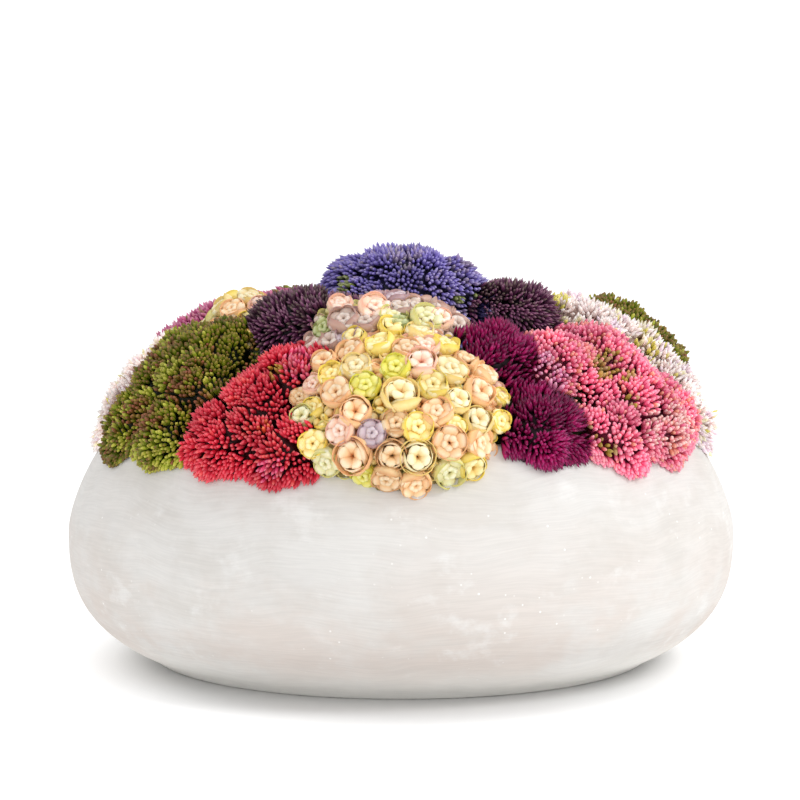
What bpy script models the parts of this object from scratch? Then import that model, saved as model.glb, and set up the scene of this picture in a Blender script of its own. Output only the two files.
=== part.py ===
"""Potted sedum arrangement: a low whitewashed bowl, a foam mound in it, and a dome of sedum heads.

Every head is one bunch: lobes of buds, or of small rosettes, on a stem that stands in a plain
hole in the mound. The heads press against each other and hang a little over the bowl's lip.
Units are metres, +Z is up, and the origin is the centre of the bowl's base.
"""

import math
import random

import bmesh
import bpy
from mathutils import Matrix, Vector

# Bowl: the outside follows two superellipse arcs that meet at the widest ring
BOWL_RADIUS = 0.2285
BOWL_WIDEST_HEIGHT = 0.088
BOWL_BELLY_DEPTH = 0.105
BOWL_BELLY_POWER = 2.8
BOWL_SHOULDER_RISE = 0.190
BOWL_SHOULDER_POWER = 1.58
BOWL_HEIGHT = 0.165
BOWL_WALL = 0.011
BOWL_SIDES = 32
LIP = 0.0038
FOOT = 0.0040
BASE_CORNER = 0.0056
FLOOR_CORNER = 0.0100

# Foam mound
MOUND_RADIUS = 0.178
MOUND_BROW_HEIGHT = 0.150
MOUND_RISE = 0.078
CLEARANCE = 0.0004

# Dome that the blooms fill, half an ellipsoid
DOME_RADIUS = 0.222
DOME_RISE = 0.160
DOME_BASE_HEIGHT = 0.120

# Stems, all aimed at the heart of the foam
STEM_RADIUS = 0.0030
STEM_LENGTH = 0.060
STEM_HOLE_RADIUS = 0.0034
STEM_AIM = Vector((0, 0, 0.100))
STEM_SIDES = 5

# Lobes: a ball's cap on a flat seat, with points spread over the cap and round the seat
BLOOM_GAP = 0.0005
NEIGHBOUR_REACH = 0.020
STEEPEST_SEAT = math.radians(60)
MIDDLE_CLIMB = 0.4
CAP_POINTS = 20
CAP_RADIUS = 0.030
CAP_MARGIN = 0.18
SEAT_POINTS = 10
FLAT_ANGLE = math.radians(0.5)

# Buds
BUD_HEIGHT = 0.0070
BUD_ROOT_DEPTH = 0.0045
BUD_COVER = 0.0028

# Rosettes
ROSETTE_RADIUS = 0.0110
ROSETTE_SIZES = (1.0, 0.9, 0.8)
ROSETTE_PETALS = 5
ROSETTE_DEPTH = 0.0130
ROSETTE_RISE = 0.0060
ROSETTE_GRIP = 0.0030
ROSETTE_SPACING = 0.0196
ROSETTE_TRIES = 90
PETAL_SHARE = 0.40
HEART_SINK = 0.0025
HEART_RISE = 0.0015
NOTCH_DEPTH = 0.0020
SUNK_DEPTH = 0.0015

GOLDEN_ANGLE = math.pi * (3 - math.sqrt(5))
SCRAP_POINTS = 8
SEED = 7

WHITEWASH = ("#E4E1DC", 0.85)
FOAM = ("#39402A", 0.95)

# Colour and roughness of each kind of bloom
COLOURS = {
    "cream": ("#E9CF96", 0.55),
    "blush": ("#CDB1A8", 0.55),
    "violet": ("#6A5A9A", 0.6),
    "plum": ("#3C2038", 0.55),
    "magenta": ("#7A1450", 0.55),
    "coral": ("#C8404E", 0.55),
    "green": ("#6F7A34", 0.6),
    "pink": ("#D06A86", 0.55),
    "pale": ("#E3CFD0", 0.6),
    "raspberry": ("#A84C72", 0.6),
}
ROSETTE_KINDS = ("cream", "blush")

# Each head's lobes: azimuth from the front and latitude on the dome in degrees, radius and lift
# off the dome in millimetres. The stem stands under the first lobe.
HEADS = {
    "cream_rosettes_front": (
        "cream",
        [
            (0, 36, 64, 8),
            (-9, 32, 44, 6),
            (9, 31, 44, 6),
            (0, 21, 46, 10),
            (-8, 22, 36, 7),
            (8, 22, 36, 7),
        ],
    ),
    "blush_rosettes_front": ("blush", [(-4, 56, 31, 0), (-16, 53, 27, -1), (8, 54, 27, -1)]),
    "violet_sedum_top": ("violet", [(0, 82, 62, 5), (-64, 80, 28, -2), (46, 77, 30, -2)]),
    "plum_sedum_left": ("plum", [(-42, 58, 34, 0), (-30, 58, 28, -1)]),
    "plum_sedum_right": ("plum", [(56, 62, 27, -1)]),
    "magenta_sedum_upper": ("magenta", [(25, 45, 30, 2)]),
    "magenta_sedum_lower": ("magenta", [(28, 22, 34, 4)]),
    "coral_sedum_left": (
        "coral",
        [(-30, 28, 30, 1), (-26, 37, 28, 1), (-35, 19, 33, 3), (-22, 17, 31, 4)],
    ),
    "green_sedum_left": (
        "green",
        [
            (-62, 33, 38, 2),
            (-55, 44, 31, 0),
            (-71, 42, 31, -3),
            (-50, 33, 33, 1),
            (-66, 18, 33, 1),
            (-50, 18, 31, 1),
        ],
    ),
    "pink_sedum_right": (
        "pink",
        [
            (57, 30, 40, 2),
            (39, 40, 30, 2),
            (58, 41, 34, 1),
            (68, 22, 30, 1),
            (45, 18, 31, 3),
            (58, 18, 30, 3),
        ],
    ),
    "pale_sedum_upper": ("pale", [(84, 56, 30, -4), (76, 48, 28, -1), (82, 40, 26, 2)]),
    "pale_sedum_lower": ("pale", [(80, 28, 31, 4), (84, 18, 31, 4)]),
    "green_sedum_right": ("green", [(98, 44, 40, 9), (94, 34, 34, 9)]),
    "lilac_sedum_left": ("pale", [(-90, 29, 33, -3), (-90, 38, 28, -5), (-86, 17, 32, -2)]),
    "raspberry_sedum_left": (
        "raspberry",
        [(-102, 49, 36, -4), (-106, 38, 33, -1), (-108, 58, 32, -11)],
    ),
    "cream_rosettes_left": ("cream", [(-86, 57, 29, -7)]),
    "coral_sedum_right": (
        "coral",
        [(119, 30, 38, 4), (107, 17, 34, 4), (121, 17, 35, 5), (121, 43, 28, -2)],
    ),
    "pink_sedum_left": ("pink", [(-117, 29, 38, 4), (-105, 18, 35, 4), (-121, 18, 37, 5)]),
    "plum_sedum_back": ("plum", [(138, 60, 38, -6), (148, 48, 38, 0), (113, 62, 32, -11)]),
    "lilac_sedum_back": ("pale", [(-172, 65, 38, -4), (175, 55, 40, 0)]),
    "magenta_sedum_back": ("magenta", [(142, 33, 41, 4), (136, 18, 37, 5), (150, 19, 38, 6)]),
    "cream_rosettes_back": (
        "cream",
        [(176, 35, 58, 9), (168, 24, 46, 9), (-176, 24, 46, 9)],
    ),
    "coral_sedum_back": ("coral", [(-145, 34, 42, 4), (-154, 19, 40, 6), (-138, 19, 38, 6)]),
    "green_sedum_back": (
        "green",
        [(-132, 56, 36, -12), (-145, 51, 38, -5), (-126, 44, 38, -3), (-124, 64, 26, -17)],
    ),
}


def tidy_scene():
    for thing in list(bpy.data.objects):
        bpy.data.objects.remove(thing, do_unlink=True)


def new_collection(name):
    collection = bpy.data.collections.new(name)
    bpy.context.scene.collection.children.link(collection)
    return collection


def linear(channel):
    if channel <= 0.04045:
        return channel / 12.92
    return ((channel + 0.055) / 1.055) ** 2.4


def make_material(name, hex_colour, roughness):
    material = bpy.data.materials.new(name)
    material.use_nodes = True
    shader = material.node_tree.nodes["Principled BSDF"]
    channels = [int(hex_colour[i : i + 2], 16) / 255 for i in (1, 3, 5)]
    shader.inputs["Base Color"].default_value = (*[linear(c) for c in channels], 1)
    shader.inputs["Roughness"].default_value = roughness
    shader.inputs["Metallic"].default_value = 0
    return material


def add_object(name, mesh, collection, material):
    thing = bpy.data.objects.new(name, mesh)
    collection.objects.link(thing)
    mesh.materials.append(material)
    return thing


def mesh_from(bm, name):
    mesh = bpy.data.meshes.new(name)
    bm.to_mesh(mesh)
    bm.free()
    return mesh


def bowl_outside(height, inset=0.0):
    """The bowl's radius at a height, on its outside or on the curve that lies inset from it."""
    radius = BOWL_RADIUS - inset
    if height < BOWL_WIDEST_HEIGHT:
        share = (BOWL_WIDEST_HEIGHT - height) / (BOWL_BELLY_DEPTH - inset)
        power = BOWL_BELLY_POWER
    else:
        share = (height - BOWL_WIDEST_HEIGHT) / (BOWL_SHOULDER_RISE - inset)
        power = BOWL_SHOULDER_POWER
    return radius * (1 - min(share, 1) ** power) ** (1 / power)


def spaced(low, high, count):
    return [low + (high - low) * i / (count - 1) for i in range(count)]


def inside_heights():
    """Heights of the rings on the bowl's inner wall, from its floor to its lip."""
    return spaced(BOWL_WALL + FOOT, BOWL_HEIGHT - LIP, 6)


def bowl_profile():
    """Down the outside from the lip, across the base, and up the inside."""
    outside = [(bowl_outside(z), z) for z in spaced(BOWL_HEIGHT - LIP, FOOT, 9)]
    base = [(bowl_outside(FOOT) - BASE_CORNER, 0), (0, 0), (0, BOWL_WALL)]
    floor = [(bowl_outside(BOWL_WALL + FOOT, BOWL_WALL) - FLOOR_CORNER, BOWL_WALL)]
    inside = [(bowl_outside(z, BOWL_WALL), z) for z in inside_heights()]
    rim = [
        (bowl_outside(BOWL_HEIGHT, BOWL_WALL) + LIP, BOWL_HEIGHT),
        (bowl_outside(BOWL_HEIGHT) - LIP, BOWL_HEIGHT),
    ]
    return outside + base + floor + inside + rim


def mound_profile():
    """Down the dome from its crown, down the bowl's inner wall, and back across the floor."""
    dome = [
        (
            MOUND_RADIUS * math.sin(math.radians(angle)),
            MOUND_BROW_HEIGHT + MOUND_RISE * math.cos(math.radians(angle)),
        )
        for angle in (0, 22, 45, 68, 90)
    ]
    heights = [z for z in reversed(inside_heights()) if z < MOUND_BROW_HEIGHT]
    wall = [(bowl_outside(z, BOWL_WALL) - CLEARANCE, z) for z in heights]
    floor_height = BOWL_WALL + CLEARANCE
    floor = [(wall[-1][0] - FLOOR_CORNER, floor_height), (0, floor_height)]
    return dome + wall + floor


def turn(name, profile, closed, collection, material):
    """A profile in the XZ plane turned round Z, shaded smooth but for its sharp edges."""
    bm = bmesh.new()
    points = [bm.verts.new((x, 0, z)) for x, z in profile]
    for a, b in zip(points, points[1:]):
        bm.edges.new((a, b))
    if closed:
        bm.edges.new((points[-1], points[0]))
    thing = add_object(name, mesh_from(bm, name), collection, material)
    screw = thing.modifiers.new("turn", "SCREW")
    screw.steps = BOWL_SIDES
    screw.render_steps = BOWL_SIDES
    screw.use_merge_vertices = True
    screw.merge_threshold = 0.00005
    screw.use_normal_calculate = True
    return thing


def frame_at(azimuth, latitude):
    """The point of the dome at an azimuth and a latitude, in degrees, and its outward normal."""
    turn_angle = math.radians(azimuth)
    climb = math.radians(latitude)
    side = Vector((math.sin(turn_angle), -math.cos(turn_angle), 0))
    point = side * DOME_RADIUS * math.cos(climb)
    point.z = DOME_BASE_HEIGHT + DOME_RISE * math.sin(climb)
    normal = side * math.cos(climb) / DOME_RADIUS
    normal.z = math.sin(climb) / DOME_RISE
    return point, normal.normalized()


def hull_reach(tilt):
    """How far the bowl and mound together reach along a direction tilted outwards from +Z."""
    sine, cosine = math.sin(tilt), math.cos(tilt)
    heights = spaced(BOWL_WIDEST_HEIGHT, BOWL_HEIGHT, 60)
    bowl = max(bowl_outside(z) * sine + z * cosine for z in heights)
    dome = math.hypot(MOUND_RADIUS * sine, MOUND_RISE * cosine)
    return max(bowl, MOUND_BROW_HEIGHT * cosine + dome)


class Lobe:
    """A ball of bloom, cut flat where it rests on the hull of the bowl and mound."""

    def __init__(self, azimuth, latitude, radius_mm, lift_mm, shrink):
        point, normal = frame_at(azimuth, latitude)
        self.radius = radius_mm / 1000 - shrink
        self.full_radius = radius_mm / 1000
        self.centre = point + normal * (lift_mm / 1000 - self.full_radius)
        tilt = min(math.atan2(math.hypot(normal.x, normal.y), normal.z), STEEPEST_SEAT)
        side = Vector((math.sin(math.radians(azimuth)), -math.cos(math.radians(azimuth)), 0))
        self.seat_normal = side * math.sin(tilt) + Vector((0, 0, math.cos(tilt)))
        self.seat_level = hull_reach(tilt) + CLEARANCE
        self.normal = normal
        self.walls = [(-self.seat_normal, -self.seat_level)]
        self.seat_rise = self.seat_level - self.centre.dot(self.seat_normal)
        climb = MIDDLE_CLIMB * (self.radius - self.seat_rise)
        self.middle = self.centre + self.seat_normal * (self.seat_rise + climb)

    def seat_ring(self, count):
        """Directions from the middle to points round the edge of the seat, turned to +Z."""
        reach = math.sqrt(self.radius**2 - self.seat_rise**2)
        drop = MIDDLE_CLIMB * (self.seat_rise - self.radius)
        angles = [math.tau * index / count for index in range(count)]
        return [Vector((reach * math.cos(a), reach * math.sin(a), drop)).normalized() for a in angles]

    def part_from(self, other):
        """Adds the plane through the ring where this lobe meets a lobe of another head."""
        offset = other.centre - self.centre
        distance = offset.length
        if distance > self.full_radius + other.full_radius + NEIGHBOUR_REACH:
            return
        towards = offset / distance
        power = self.full_radius**2 - other.full_radius**2
        reach = (distance**2 + power) / (2 * distance)
        self.walls.append((towards, self.centre.dot(towards) + reach - BLOOM_GAP / 2))

    def covers(self, point):
        """Whether a point lies well inside the lobe's ball."""
        return (point - self.centre).length < self.full_radius - SUNK_DEPTH

    def holds_disc(self, place, radius):
        """Whether a disc in the XY plane of a place lies within all the lobe's walls."""
        corners = [
            place @ Vector((radius * math.cos(angle), radius * math.sin(angle), 0))
            for angle in spaced(0, math.tau, 9)
        ]
        return all(normal.dot(point) <= level for normal, level in self.walls for point in corners)

    def room(self, start, direction):
        """How far a ray goes before it meets one of the lobe's walls."""
        reach = 1.0
        for normal, level in self.walls:
            speed = normal.dot(direction)
            if speed > 1e-6:
                reach = min(reach, (level - normal.dot(start)) / speed)
        return reach

    def ball_reach(self, direction):
        """How far a ray from the lobe's middle goes before it leaves the ball."""
        offset = self.middle - self.centre
        along = offset.dot(direction)
        return -along + math.sqrt(along**2 + self.radius**2 - offset.length_squared)


def spiral(count, low, high):
    """Directions along a golden-angle spiral, between two heights on a unit ball."""
    directions = []
    for index in range(count):
        rise = high - (high - low) * (index + 0.5) / count
        reach = math.sqrt(1 - rise**2)
        angle = index * GOLDEN_ANGLE
        directions.append(Vector((reach * math.cos(angle), reach * math.sin(angle), rise)))
    return directions


def turned_to(normal, draw):
    """A rotation that takes +Z to the normal, with a drawn turn about it."""
    return normal.to_track_quat("Z", "Y").to_matrix() @ Matrix.Rotation(
        draw.uniform(0, math.tau), 3, "Z"
    )


def lobe_body(lobe, group, draw, with_buds):
    """The lobe's closed body. Each free facet of a bud lobe is raised to a three-sided bud."""
    bm = bmesh.new()
    turned = turned_to(lobe.seat_normal, draw)
    cap_points = round(CAP_POINTS * max(1, lobe.radius / CAP_RADIUS))
    ring = lobe.seat_ring(SEAT_POINTS)
    cap_edge = ring[0].z + CAP_MARGIN
    for direction in spiral(cap_points, cap_edge, 1) + ring:
        bm.verts.new(turned @ direction)
    bmesh.ops.convex_hull(bm, input=bm.verts)
    free = set()
    for vert in bm.verts:
        direction = vert.co.normalized()
        ball = lobe.ball_reach(direction)
        wall = lobe.room(lobe.middle, direction)
        if ball < wall:
            free.add(vert)
        vert.co = lobe.middle + direction * min(ball, wall)
    bmesh.ops.recalc_face_normals(bm, faces=bm.faces)
    if with_buds:
        raise_buds(bm, lobe, group, free, draw)
    bmesh.ops.dissolve_limit(bm, angle_limit=FLAT_ANGLE, verts=bm.verts, edges=bm.edges)
    bmesh.ops.triangulate(bm, faces=bm.faces)
    return mesh_from(bm, "lobe")


def raise_buds(bm, lobe, group, free, draw):
    """A bud on every facet that two of the lobe's free points carry, clear of its walls."""
    tops = []
    for face in bm.faces:
        middle = face.calc_center_median()
        hidden = any(
            (middle - other.centre).length < other.radius + BUD_COVER
            for other in group
            if other is not lobe
        )
        if sum(vert in free for vert in face.verts) >= 2 and not hidden:
            tops.append(face)
    for tip in bmesh.ops.poke(bm, faces=tops, center_mode="MEAN")["verts"]:
        direction = (tip.co - lobe.middle).normalized()
        height = BUD_HEIGHT * draw.uniform(0.8, 1.2)
        tip.co += direction * min(height, lobe.room(tip.co, direction))


def rosette_body(place, size, depth):
    """A cupped rosette: five pointed petals round a raised heart, tapering to a sunk root."""
    bm = bmesh.new()
    radius = ROSETTE_RADIUS * size
    bmesh.ops.create_cone(
        bm, cap_ends=True, segments=ROSETTE_PETALS, radius1=0, radius2=radius, depth=depth
    )
    bmesh.ops.translate(bm, vec=(0, 0, -depth / 2), verts=bm.verts)
    top = max(bm.faces, key=lambda face: face.calc_center_median().z)
    rim = list(top.edges)
    bmesh.ops.inset_region(bm, faces=[top], thickness=PETAL_SHARE * radius, depth=-HEART_SINK)
    heart = bmesh.ops.poke(bm, faces=[top], center_mode="MEAN")["verts"][0]
    heart.co.z = HEART_RISE
    notches = bmesh.ops.subdivide_edges(bm, edges=rim, cuts=1)["geom_inner"]
    for notch in notches:
        if isinstance(notch, bmesh.types.BMVert):
            notch.co.z -= NOTCH_DEPTH
    bmesh.ops.transform(bm, matrix=place, verts=bm.verts)
    bmesh.ops.triangulate(bm, faces=bm.faces)
    bmesh.ops.recalc_face_normals(bm, faces=bm.faces)
    return mesh_from(bm, "rosette")


def rosette_places(lobes, draw):
    """Place, size and root depth of each rosette, packed outwards from the head's crown."""
    spacing = 2 * ROSETTE_RADIUS
    rims = []
    for lobe in lobes:
        count = round(ROSETTE_TRIES * (lobe.full_radius / spacing) ** 2)
        turned = turned_to(lobe.normal, draw)
        for direction in spiral(count, -1, 1):
            rims.append((lobe, lobe.centre + turned @ direction * lobe.full_radius))
    crown = lobes[0].centre + lobes[0].normal * lobes[0].full_radius
    rims.sort(key=lambda pair: (pair[1] - crown).length)
    places = []
    for lobe, rim in rims:
        outward = (rim - lobe.centre).normalized()
        sunk = any(other.covers(rim) for other in lobes if other is not lobe)
        crowded = any((rim - other.translation).length < ROSETTE_SPACING for other, _, _ in places)
        depth = min(ROSETTE_DEPTH, lobe.room(rim, -outward))
        if sunk or crowded or depth < ROSETTE_RISE + ROSETTE_GRIP:
            continue
        place = Matrix.Translation(rim) @ turned_to(outward, draw).to_4x4()
        sizes = [size for size in ROSETTE_SIZES if lobe.holds_disc(place, ROSETTE_RADIUS * size)]
        if sizes:
            places.append((place, sizes[0], depth))
    return places


def stem_matrix(lobe, length):
    """Turns a cylinder along +Z into a stem from the lobe's middle towards the foam's heart."""
    downward = (STEM_AIM - lobe.middle).normalized()
    turned = downward.to_track_quat("Z", "Y").to_matrix().to_4x4()
    return Matrix.Translation(lobe.middle + downward * length / 2) @ turned


def stem_body(lobe, radius, length, name):
    bm = bmesh.new()
    bmesh.ops.create_cone(
        bm, cap_ends=True, segments=STEM_SIDES, radius1=radius, radius2=radius, depth=length
    )
    bmesh.ops.transform(bm, matrix=stem_matrix(lobe, length), verts=bm.verts)
    return mesh_from(bm, name)


def join_as_one(name, bodies, collection, material):
    """One Boolean union of a head's bodies, applied, with the joined bodies then removed."""
    thing = add_object(name, bodies[0], collection, material)
    operands = new_collection(f"{name}_bodies")
    for index, body in enumerate(bodies[1:]):
        add_object(f"{name}_body_{index}", body, operands, material)
    union = thing.modifiers.new("join", "BOOLEAN")
    union.operation = "UNION"
    union.operand_type = "COLLECTION"
    union.collection = operands
    union.solver = "EXACT"
    joined = evaluated_mesh(thing)
    thing.modifiers.clear()
    thing.data = joined
    drop_scraps(joined)
    for operand in list(operands.objects):
        bpy.data.objects.remove(operand, do_unlink=True)
    bpy.data.collections.remove(operands)
    return thing


def drop_scraps(mesh):
    """Removes slivers that a union left loose, none of them as large as a bud."""
    bm = bmesh.new()
    bm.from_mesh(mesh)
    waiting = set(bm.verts)
    scraps = []
    while waiting:
        reached = [waiting.pop()]
        for vert in reached:
            near = [edge.other_vert(vert) for edge in vert.link_edges]
            fresh = [other for other in near if other in waiting]
            waiting.difference_update(fresh)
            reached.extend(fresh)
        if len(reached) <= SCRAP_POINTS:
            scraps.extend(reached)
    bmesh.ops.delete(bm, geom=scraps, context="VERTS")
    bm.to_mesh(mesh)
    bm.free()


def evaluated_mesh(thing):
    """A new mesh of the object with its modifiers applied."""
    graph = bpy.context.evaluated_depsgraph_get()
    graph.update()
    return bpy.data.meshes.new_from_object(thing.evaluated_get(graph))


def make_lobes():
    """Every head's lobes, each parted from the lobes of the other heads."""
    heads = {}
    for name, (kind, rows) in HEADS.items():
        shrink = ROSETTE_RISE if kind in ROSETTE_KINDS else BUD_ROOT_DEPTH
        heads[name] = [Lobe(*row, shrink) for row in rows]
    for name, lobes in heads.items():
        others = [lobe for other, group in heads.items() if other != name for lobe in group]
        for lobe in lobes:
            for other in others:
                lobe.part_from(other)
    return heads


def make_head(name, lobes, kind, collection, material, draw):
    bodies = [lobe_body(lobe, lobes, draw, kind not in ROSETTE_KINDS) for lobe in lobes]
    bodies.append(stem_body(lobes[0], STEM_RADIUS, STEM_LENGTH, "stem"))
    if kind in ROSETTE_KINDS:
        for place, size, depth in rosette_places(lobes, draw):
            bodies.append(rosette_body(place, size, depth))
    return join_as_one(name, bodies, collection, material)


def cut_stem_holes(mound, heads, cutters, material):
    """A plain hole in the mound for each stem, open where the stem comes in."""
    depth = STEM_LENGTH + CLEARANCE
    for name, lobes in heads.items():
        hole = stem_body(lobes[0], STEM_HOLE_RADIUS, depth, f"{name}_hole")
        cutter = add_object(f"{name}_hole", hole, cutters, material)
        cutter.hide_render = True
        cutter.display_type = "WIRE"
    cut = mound.modifiers.new("stem holes", "BOOLEAN")
    cut.operation = "DIFFERENCE"
    cut.operand_type = "COLLECTION"
    cut.collection = cutters
    cut.solver = "EXACT"


def main():
    tidy_scene()
    draw = random.Random(SEED)
    parts = new_collection("potted_sedum_arrangement")
    cutters = new_collection("stem_holes")
    whitewash = make_material("whitewash", *WHITEWASH)
    foam = make_material("foam", *FOAM)
    blooms = {kind: make_material(kind, *look) for kind, look in COLOURS.items()}
    turn("bowl", bowl_profile(), True, parts, whitewash)
    mound = turn("foam_mound", mound_profile(), False, parts, foam)
    heads = make_lobes()
    for name, lobes in heads.items():
        kind = HEADS[name][0]
        make_head(name, lobes, kind, parts, blooms[kind], draw)
    cut_stem_holes(mound, heads, cutters, foam)


main()
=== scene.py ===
"""Looks of the potted sedum arrangement: a whitewashed bowl filled with sedum heads and rosettes.

Each head's lobes are worked out as in the part's source, and then dressed: a dark core of painted
shade, buds that splay from small umbels, or rosettes of cupped sepals and plump petals. Units are
metres, and the sizes that end in _mm are millimetres. -Y is the front.
"""

import math
from collections import namedtuple
from functools import cache
from itertools import pairwise

import bpy
import numpy as np
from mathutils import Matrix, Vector, kdtree


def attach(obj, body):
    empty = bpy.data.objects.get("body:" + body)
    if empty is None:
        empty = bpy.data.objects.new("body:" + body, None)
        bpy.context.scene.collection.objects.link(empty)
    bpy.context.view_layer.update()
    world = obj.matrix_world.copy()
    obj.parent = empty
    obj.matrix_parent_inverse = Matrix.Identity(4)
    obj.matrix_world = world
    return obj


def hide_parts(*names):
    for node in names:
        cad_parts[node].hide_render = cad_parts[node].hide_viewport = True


bl_info = {
    "name": "Potted sedum arrangement",
    "version": (1, 0, 0),
    "blender": (4, 5, 0),
    "location": "View3D > Sidebar > Sedum",
    "description": "Dresses the packed sedum arrangement with buds, rosettes and a whitewashed bowl",
    "category": "Object",
}

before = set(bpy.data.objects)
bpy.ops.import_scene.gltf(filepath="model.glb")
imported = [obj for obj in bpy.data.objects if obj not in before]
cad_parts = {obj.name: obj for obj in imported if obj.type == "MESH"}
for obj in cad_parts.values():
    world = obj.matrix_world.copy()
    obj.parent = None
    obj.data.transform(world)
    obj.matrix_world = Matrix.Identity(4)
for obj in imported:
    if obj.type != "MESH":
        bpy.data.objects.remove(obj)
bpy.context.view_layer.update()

MM = 0.001
GOLDEN_ANGLE = math.pi * (3 - math.sqrt(5))
NEARLY_UPRIGHT = 0.9

# Bowl: the outside follows two superellipse arcs that meet at the widest ring
BOWL_RADIUS = 0.2285
BOWL_WIDEST_HEIGHT = 0.088
BOWL_BELLY_DEPTH = 0.105
BOWL_BELLY_POWER = 2.8
BOWL_SHOULDER_RISE = 0.190
BOWL_SHOULDER_POWER = 1.58
BOWL_HEIGHT = 0.165
BOWL_WALL = 0.011
BOWL_FOOT = 0.0040
BOWL_STEPS = 144

# The bowl's profile: height of its round lip, corners of its foot (how far in from the foot's
# radius, and how high), radius of the flat of its base and floor, and the floor's round edge
BOWL_LIP = 0.004
BOWL_FOOT_CORNERS = ((0.0026, 0.0013), (0.0056, 0))
BOWL_FLAT = 0.100
BOWL_FLOOR_EDGE = 0.010
BOWL_SLOPE_STEP = 0.0005
PROFILE_STEPS = 60

# Dome that the blooms fill, half an ellipsoid, and the foam mound under it
DOME_RADIUS = 0.222
DOME_RISE = 0.160
DOME_BASE_HEIGHT = 0.120
MOUND_RADIUS = 0.178
MOUND_BROW_HEIGHT = 0.150
MOUND_RISE = 0.078

# Lobes: how clear they are of bowl and mound, the point that their stems aim at, the gap between
# heads, how far off a neighbour counts, the least speed at which a ray nears a wall, how steep a
# seat may be, and how high in a lobe its middle is; then the stems
CLEARANCE = 0.0004
HEART = np.array((0, 0, 0.100))
BLOOM_GAP = 0.0005
NEIGHBOUR_REACH = 0.020
TOWARDS = 1e-6
STEEPEST_SEAT = math.radians(60)
MIDDLE_CLIMB = 0.4
STEM_RADIUS = 0.0029
STEM_LENGTH = 0.059
STEM_SIDES = 10
STEM_ROUNDING = 0.3

# The photograph's view: what each of its pixels shows, in the plane through the target
VIEW_TARGET = np.array((0, 0, 0.0881))
VIEW_DISTANCE = 2.0
VIEW_ELEVATION = math.radians(8)
VIEW_PIXELS_PER_METRE = 1446
VIEW_TARGET_PIXEL = (401, 526)
PHOTO_WIDTH = 800
SENSOR_WIDTH = 36

# Where the paper starts to glow and glows fully: distances from the middle, in front; to the
# sides the shadow is narrower by the share below
SHADOW_REACH = (0.21, 0.29)
SHADOW_NARROWING = 1.28

# Paper sweep: its size, the radius and steps of its bend, and its wall's height; then each soft
# light's place and width, and the point that they face
SWEEP_SIZE = 9
SWEEP_BEND = 1.2
SWEEP_STEPS = 10
SWEEP_WALL = 4
LIGHTS = {"key": ((2.1, -0.8, 2.2), 1.1), "fill": ((0.3, -2.6, 0.2), 1.2)}
LIT_POINT = Vector((0, 0, 0.12))

# Each head's lobes: azimuth from the front and latitude on the dome in degrees, radius and lift
# off the dome in millimetres
HEADS = {
    "cream_rosettes_front": ("cream", [
        (0, 36, 64, 8), (-9, 32, 44, 6), (9, 31, 44, 6), (0, 21, 46, 10), (-8, 22, 36, 7),
        (8, 22, 36, 7),
    ]),
    "blush_rosettes_front": ("blush", [(-4, 56, 31, 0), (-16, 53, 27, -1), (8, 54, 27, -1)]),
    "violet_sedum_top": ("violet", [(0, 82, 62, 5), (-64, 80, 28, -2), (46, 77, 30, -2)]),
    "plum_sedum_left": ("plum", [(-42, 58, 34, 0), (-30, 58, 28, -1)]),
    "plum_sedum_right": ("plum", [(56, 62, 27, -1)]),
    "magenta_sedum_upper": ("magenta", [(25, 45, 30, 2)]),
    "magenta_sedum_lower": ("magenta", [(28, 22, 34, 4)]),
    "coral_sedum_left": ("coral", [
        (-30, 28, 30, 1), (-26, 37, 28, 1), (-35, 19, 33, 3), (-22, 17, 31, 4),
    ]),
    "green_sedum_left": ("green", [
        (-62, 33, 38, 2), (-55, 44, 31, 0), (-71, 42, 31, -3), (-50, 33, 33, 1), (-66, 18, 33, 1),
        (-50, 18, 31, 1),
    ]),
    "pink_sedum_right": ("pink", [
        (57, 30, 40, 2), (39, 40, 30, 2), (58, 41, 34, 1), (68, 22, 30, 1), (45, 18, 31, 3),
        (58, 18, 30, 3),
    ]),
    "pale_sedum_upper": ("pale", [(84, 56, 30, -4), (76, 48, 28, -1), (82, 40, 26, 2)]),
    "pale_sedum_lower": ("pale", [(80, 28, 31, 4), (84, 18, 31, 4)]),
    "green_sedum_right": ("green", [(98, 44, 40, 9), (94, 34, 34, 9)]),
    "lilac_sedum_left": ("pale", [(-90, 29, 33, -3), (-90, 38, 28, -5), (-86, 17, 32, -2)]),
    "raspberry_sedum_left": ("raspberry", [
        (-102, 49, 36, -4), (-106, 38, 33, -1), (-108, 58, 32, -11),
    ]),
    "cream_rosettes_left": ("cream", [(-86, 57, 29, -7)]),
    "coral_sedum_right": ("coral", [
        (119, 30, 38, 4), (107, 17, 34, 4), (121, 17, 35, 5), (121, 43, 28, -2),
    ]),
    "pink_sedum_left": ("pink", [(-117, 29, 38, 4), (-105, 18, 35, 4), (-121, 18, 37, 5)]),
    "plum_sedum_back": ("plum", [(138, 60, 38, -6), (148, 48, 38, 0), (113, 62, 32, -11)]),
    "lilac_sedum_back": ("pale", [(-172, 65, 38, -4), (175, 55, 40, 0)]),
    "magenta_sedum_back": ("magenta", [(142, 33, 41, 4), (136, 18, 37, 5), (150, 19, 38, 6)]),
    "cream_rosettes_back": ("cream", [(176, 35, 58, 9), (168, 24, 46, 9), (-176, 24, 46, 9)]),
    "coral_sedum_back": ("coral", [(-145, 34, 42, 4), (-154, 19, 40, 6), (-138, 19, 38, 6)]),
    "green_sedum_back": ("green", [
        (-132, 56, 36, -12), (-145, 51, 38, -5), (-126, 44, 38, -3), (-124, 64, 26, -17),
    ]),
}

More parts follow.
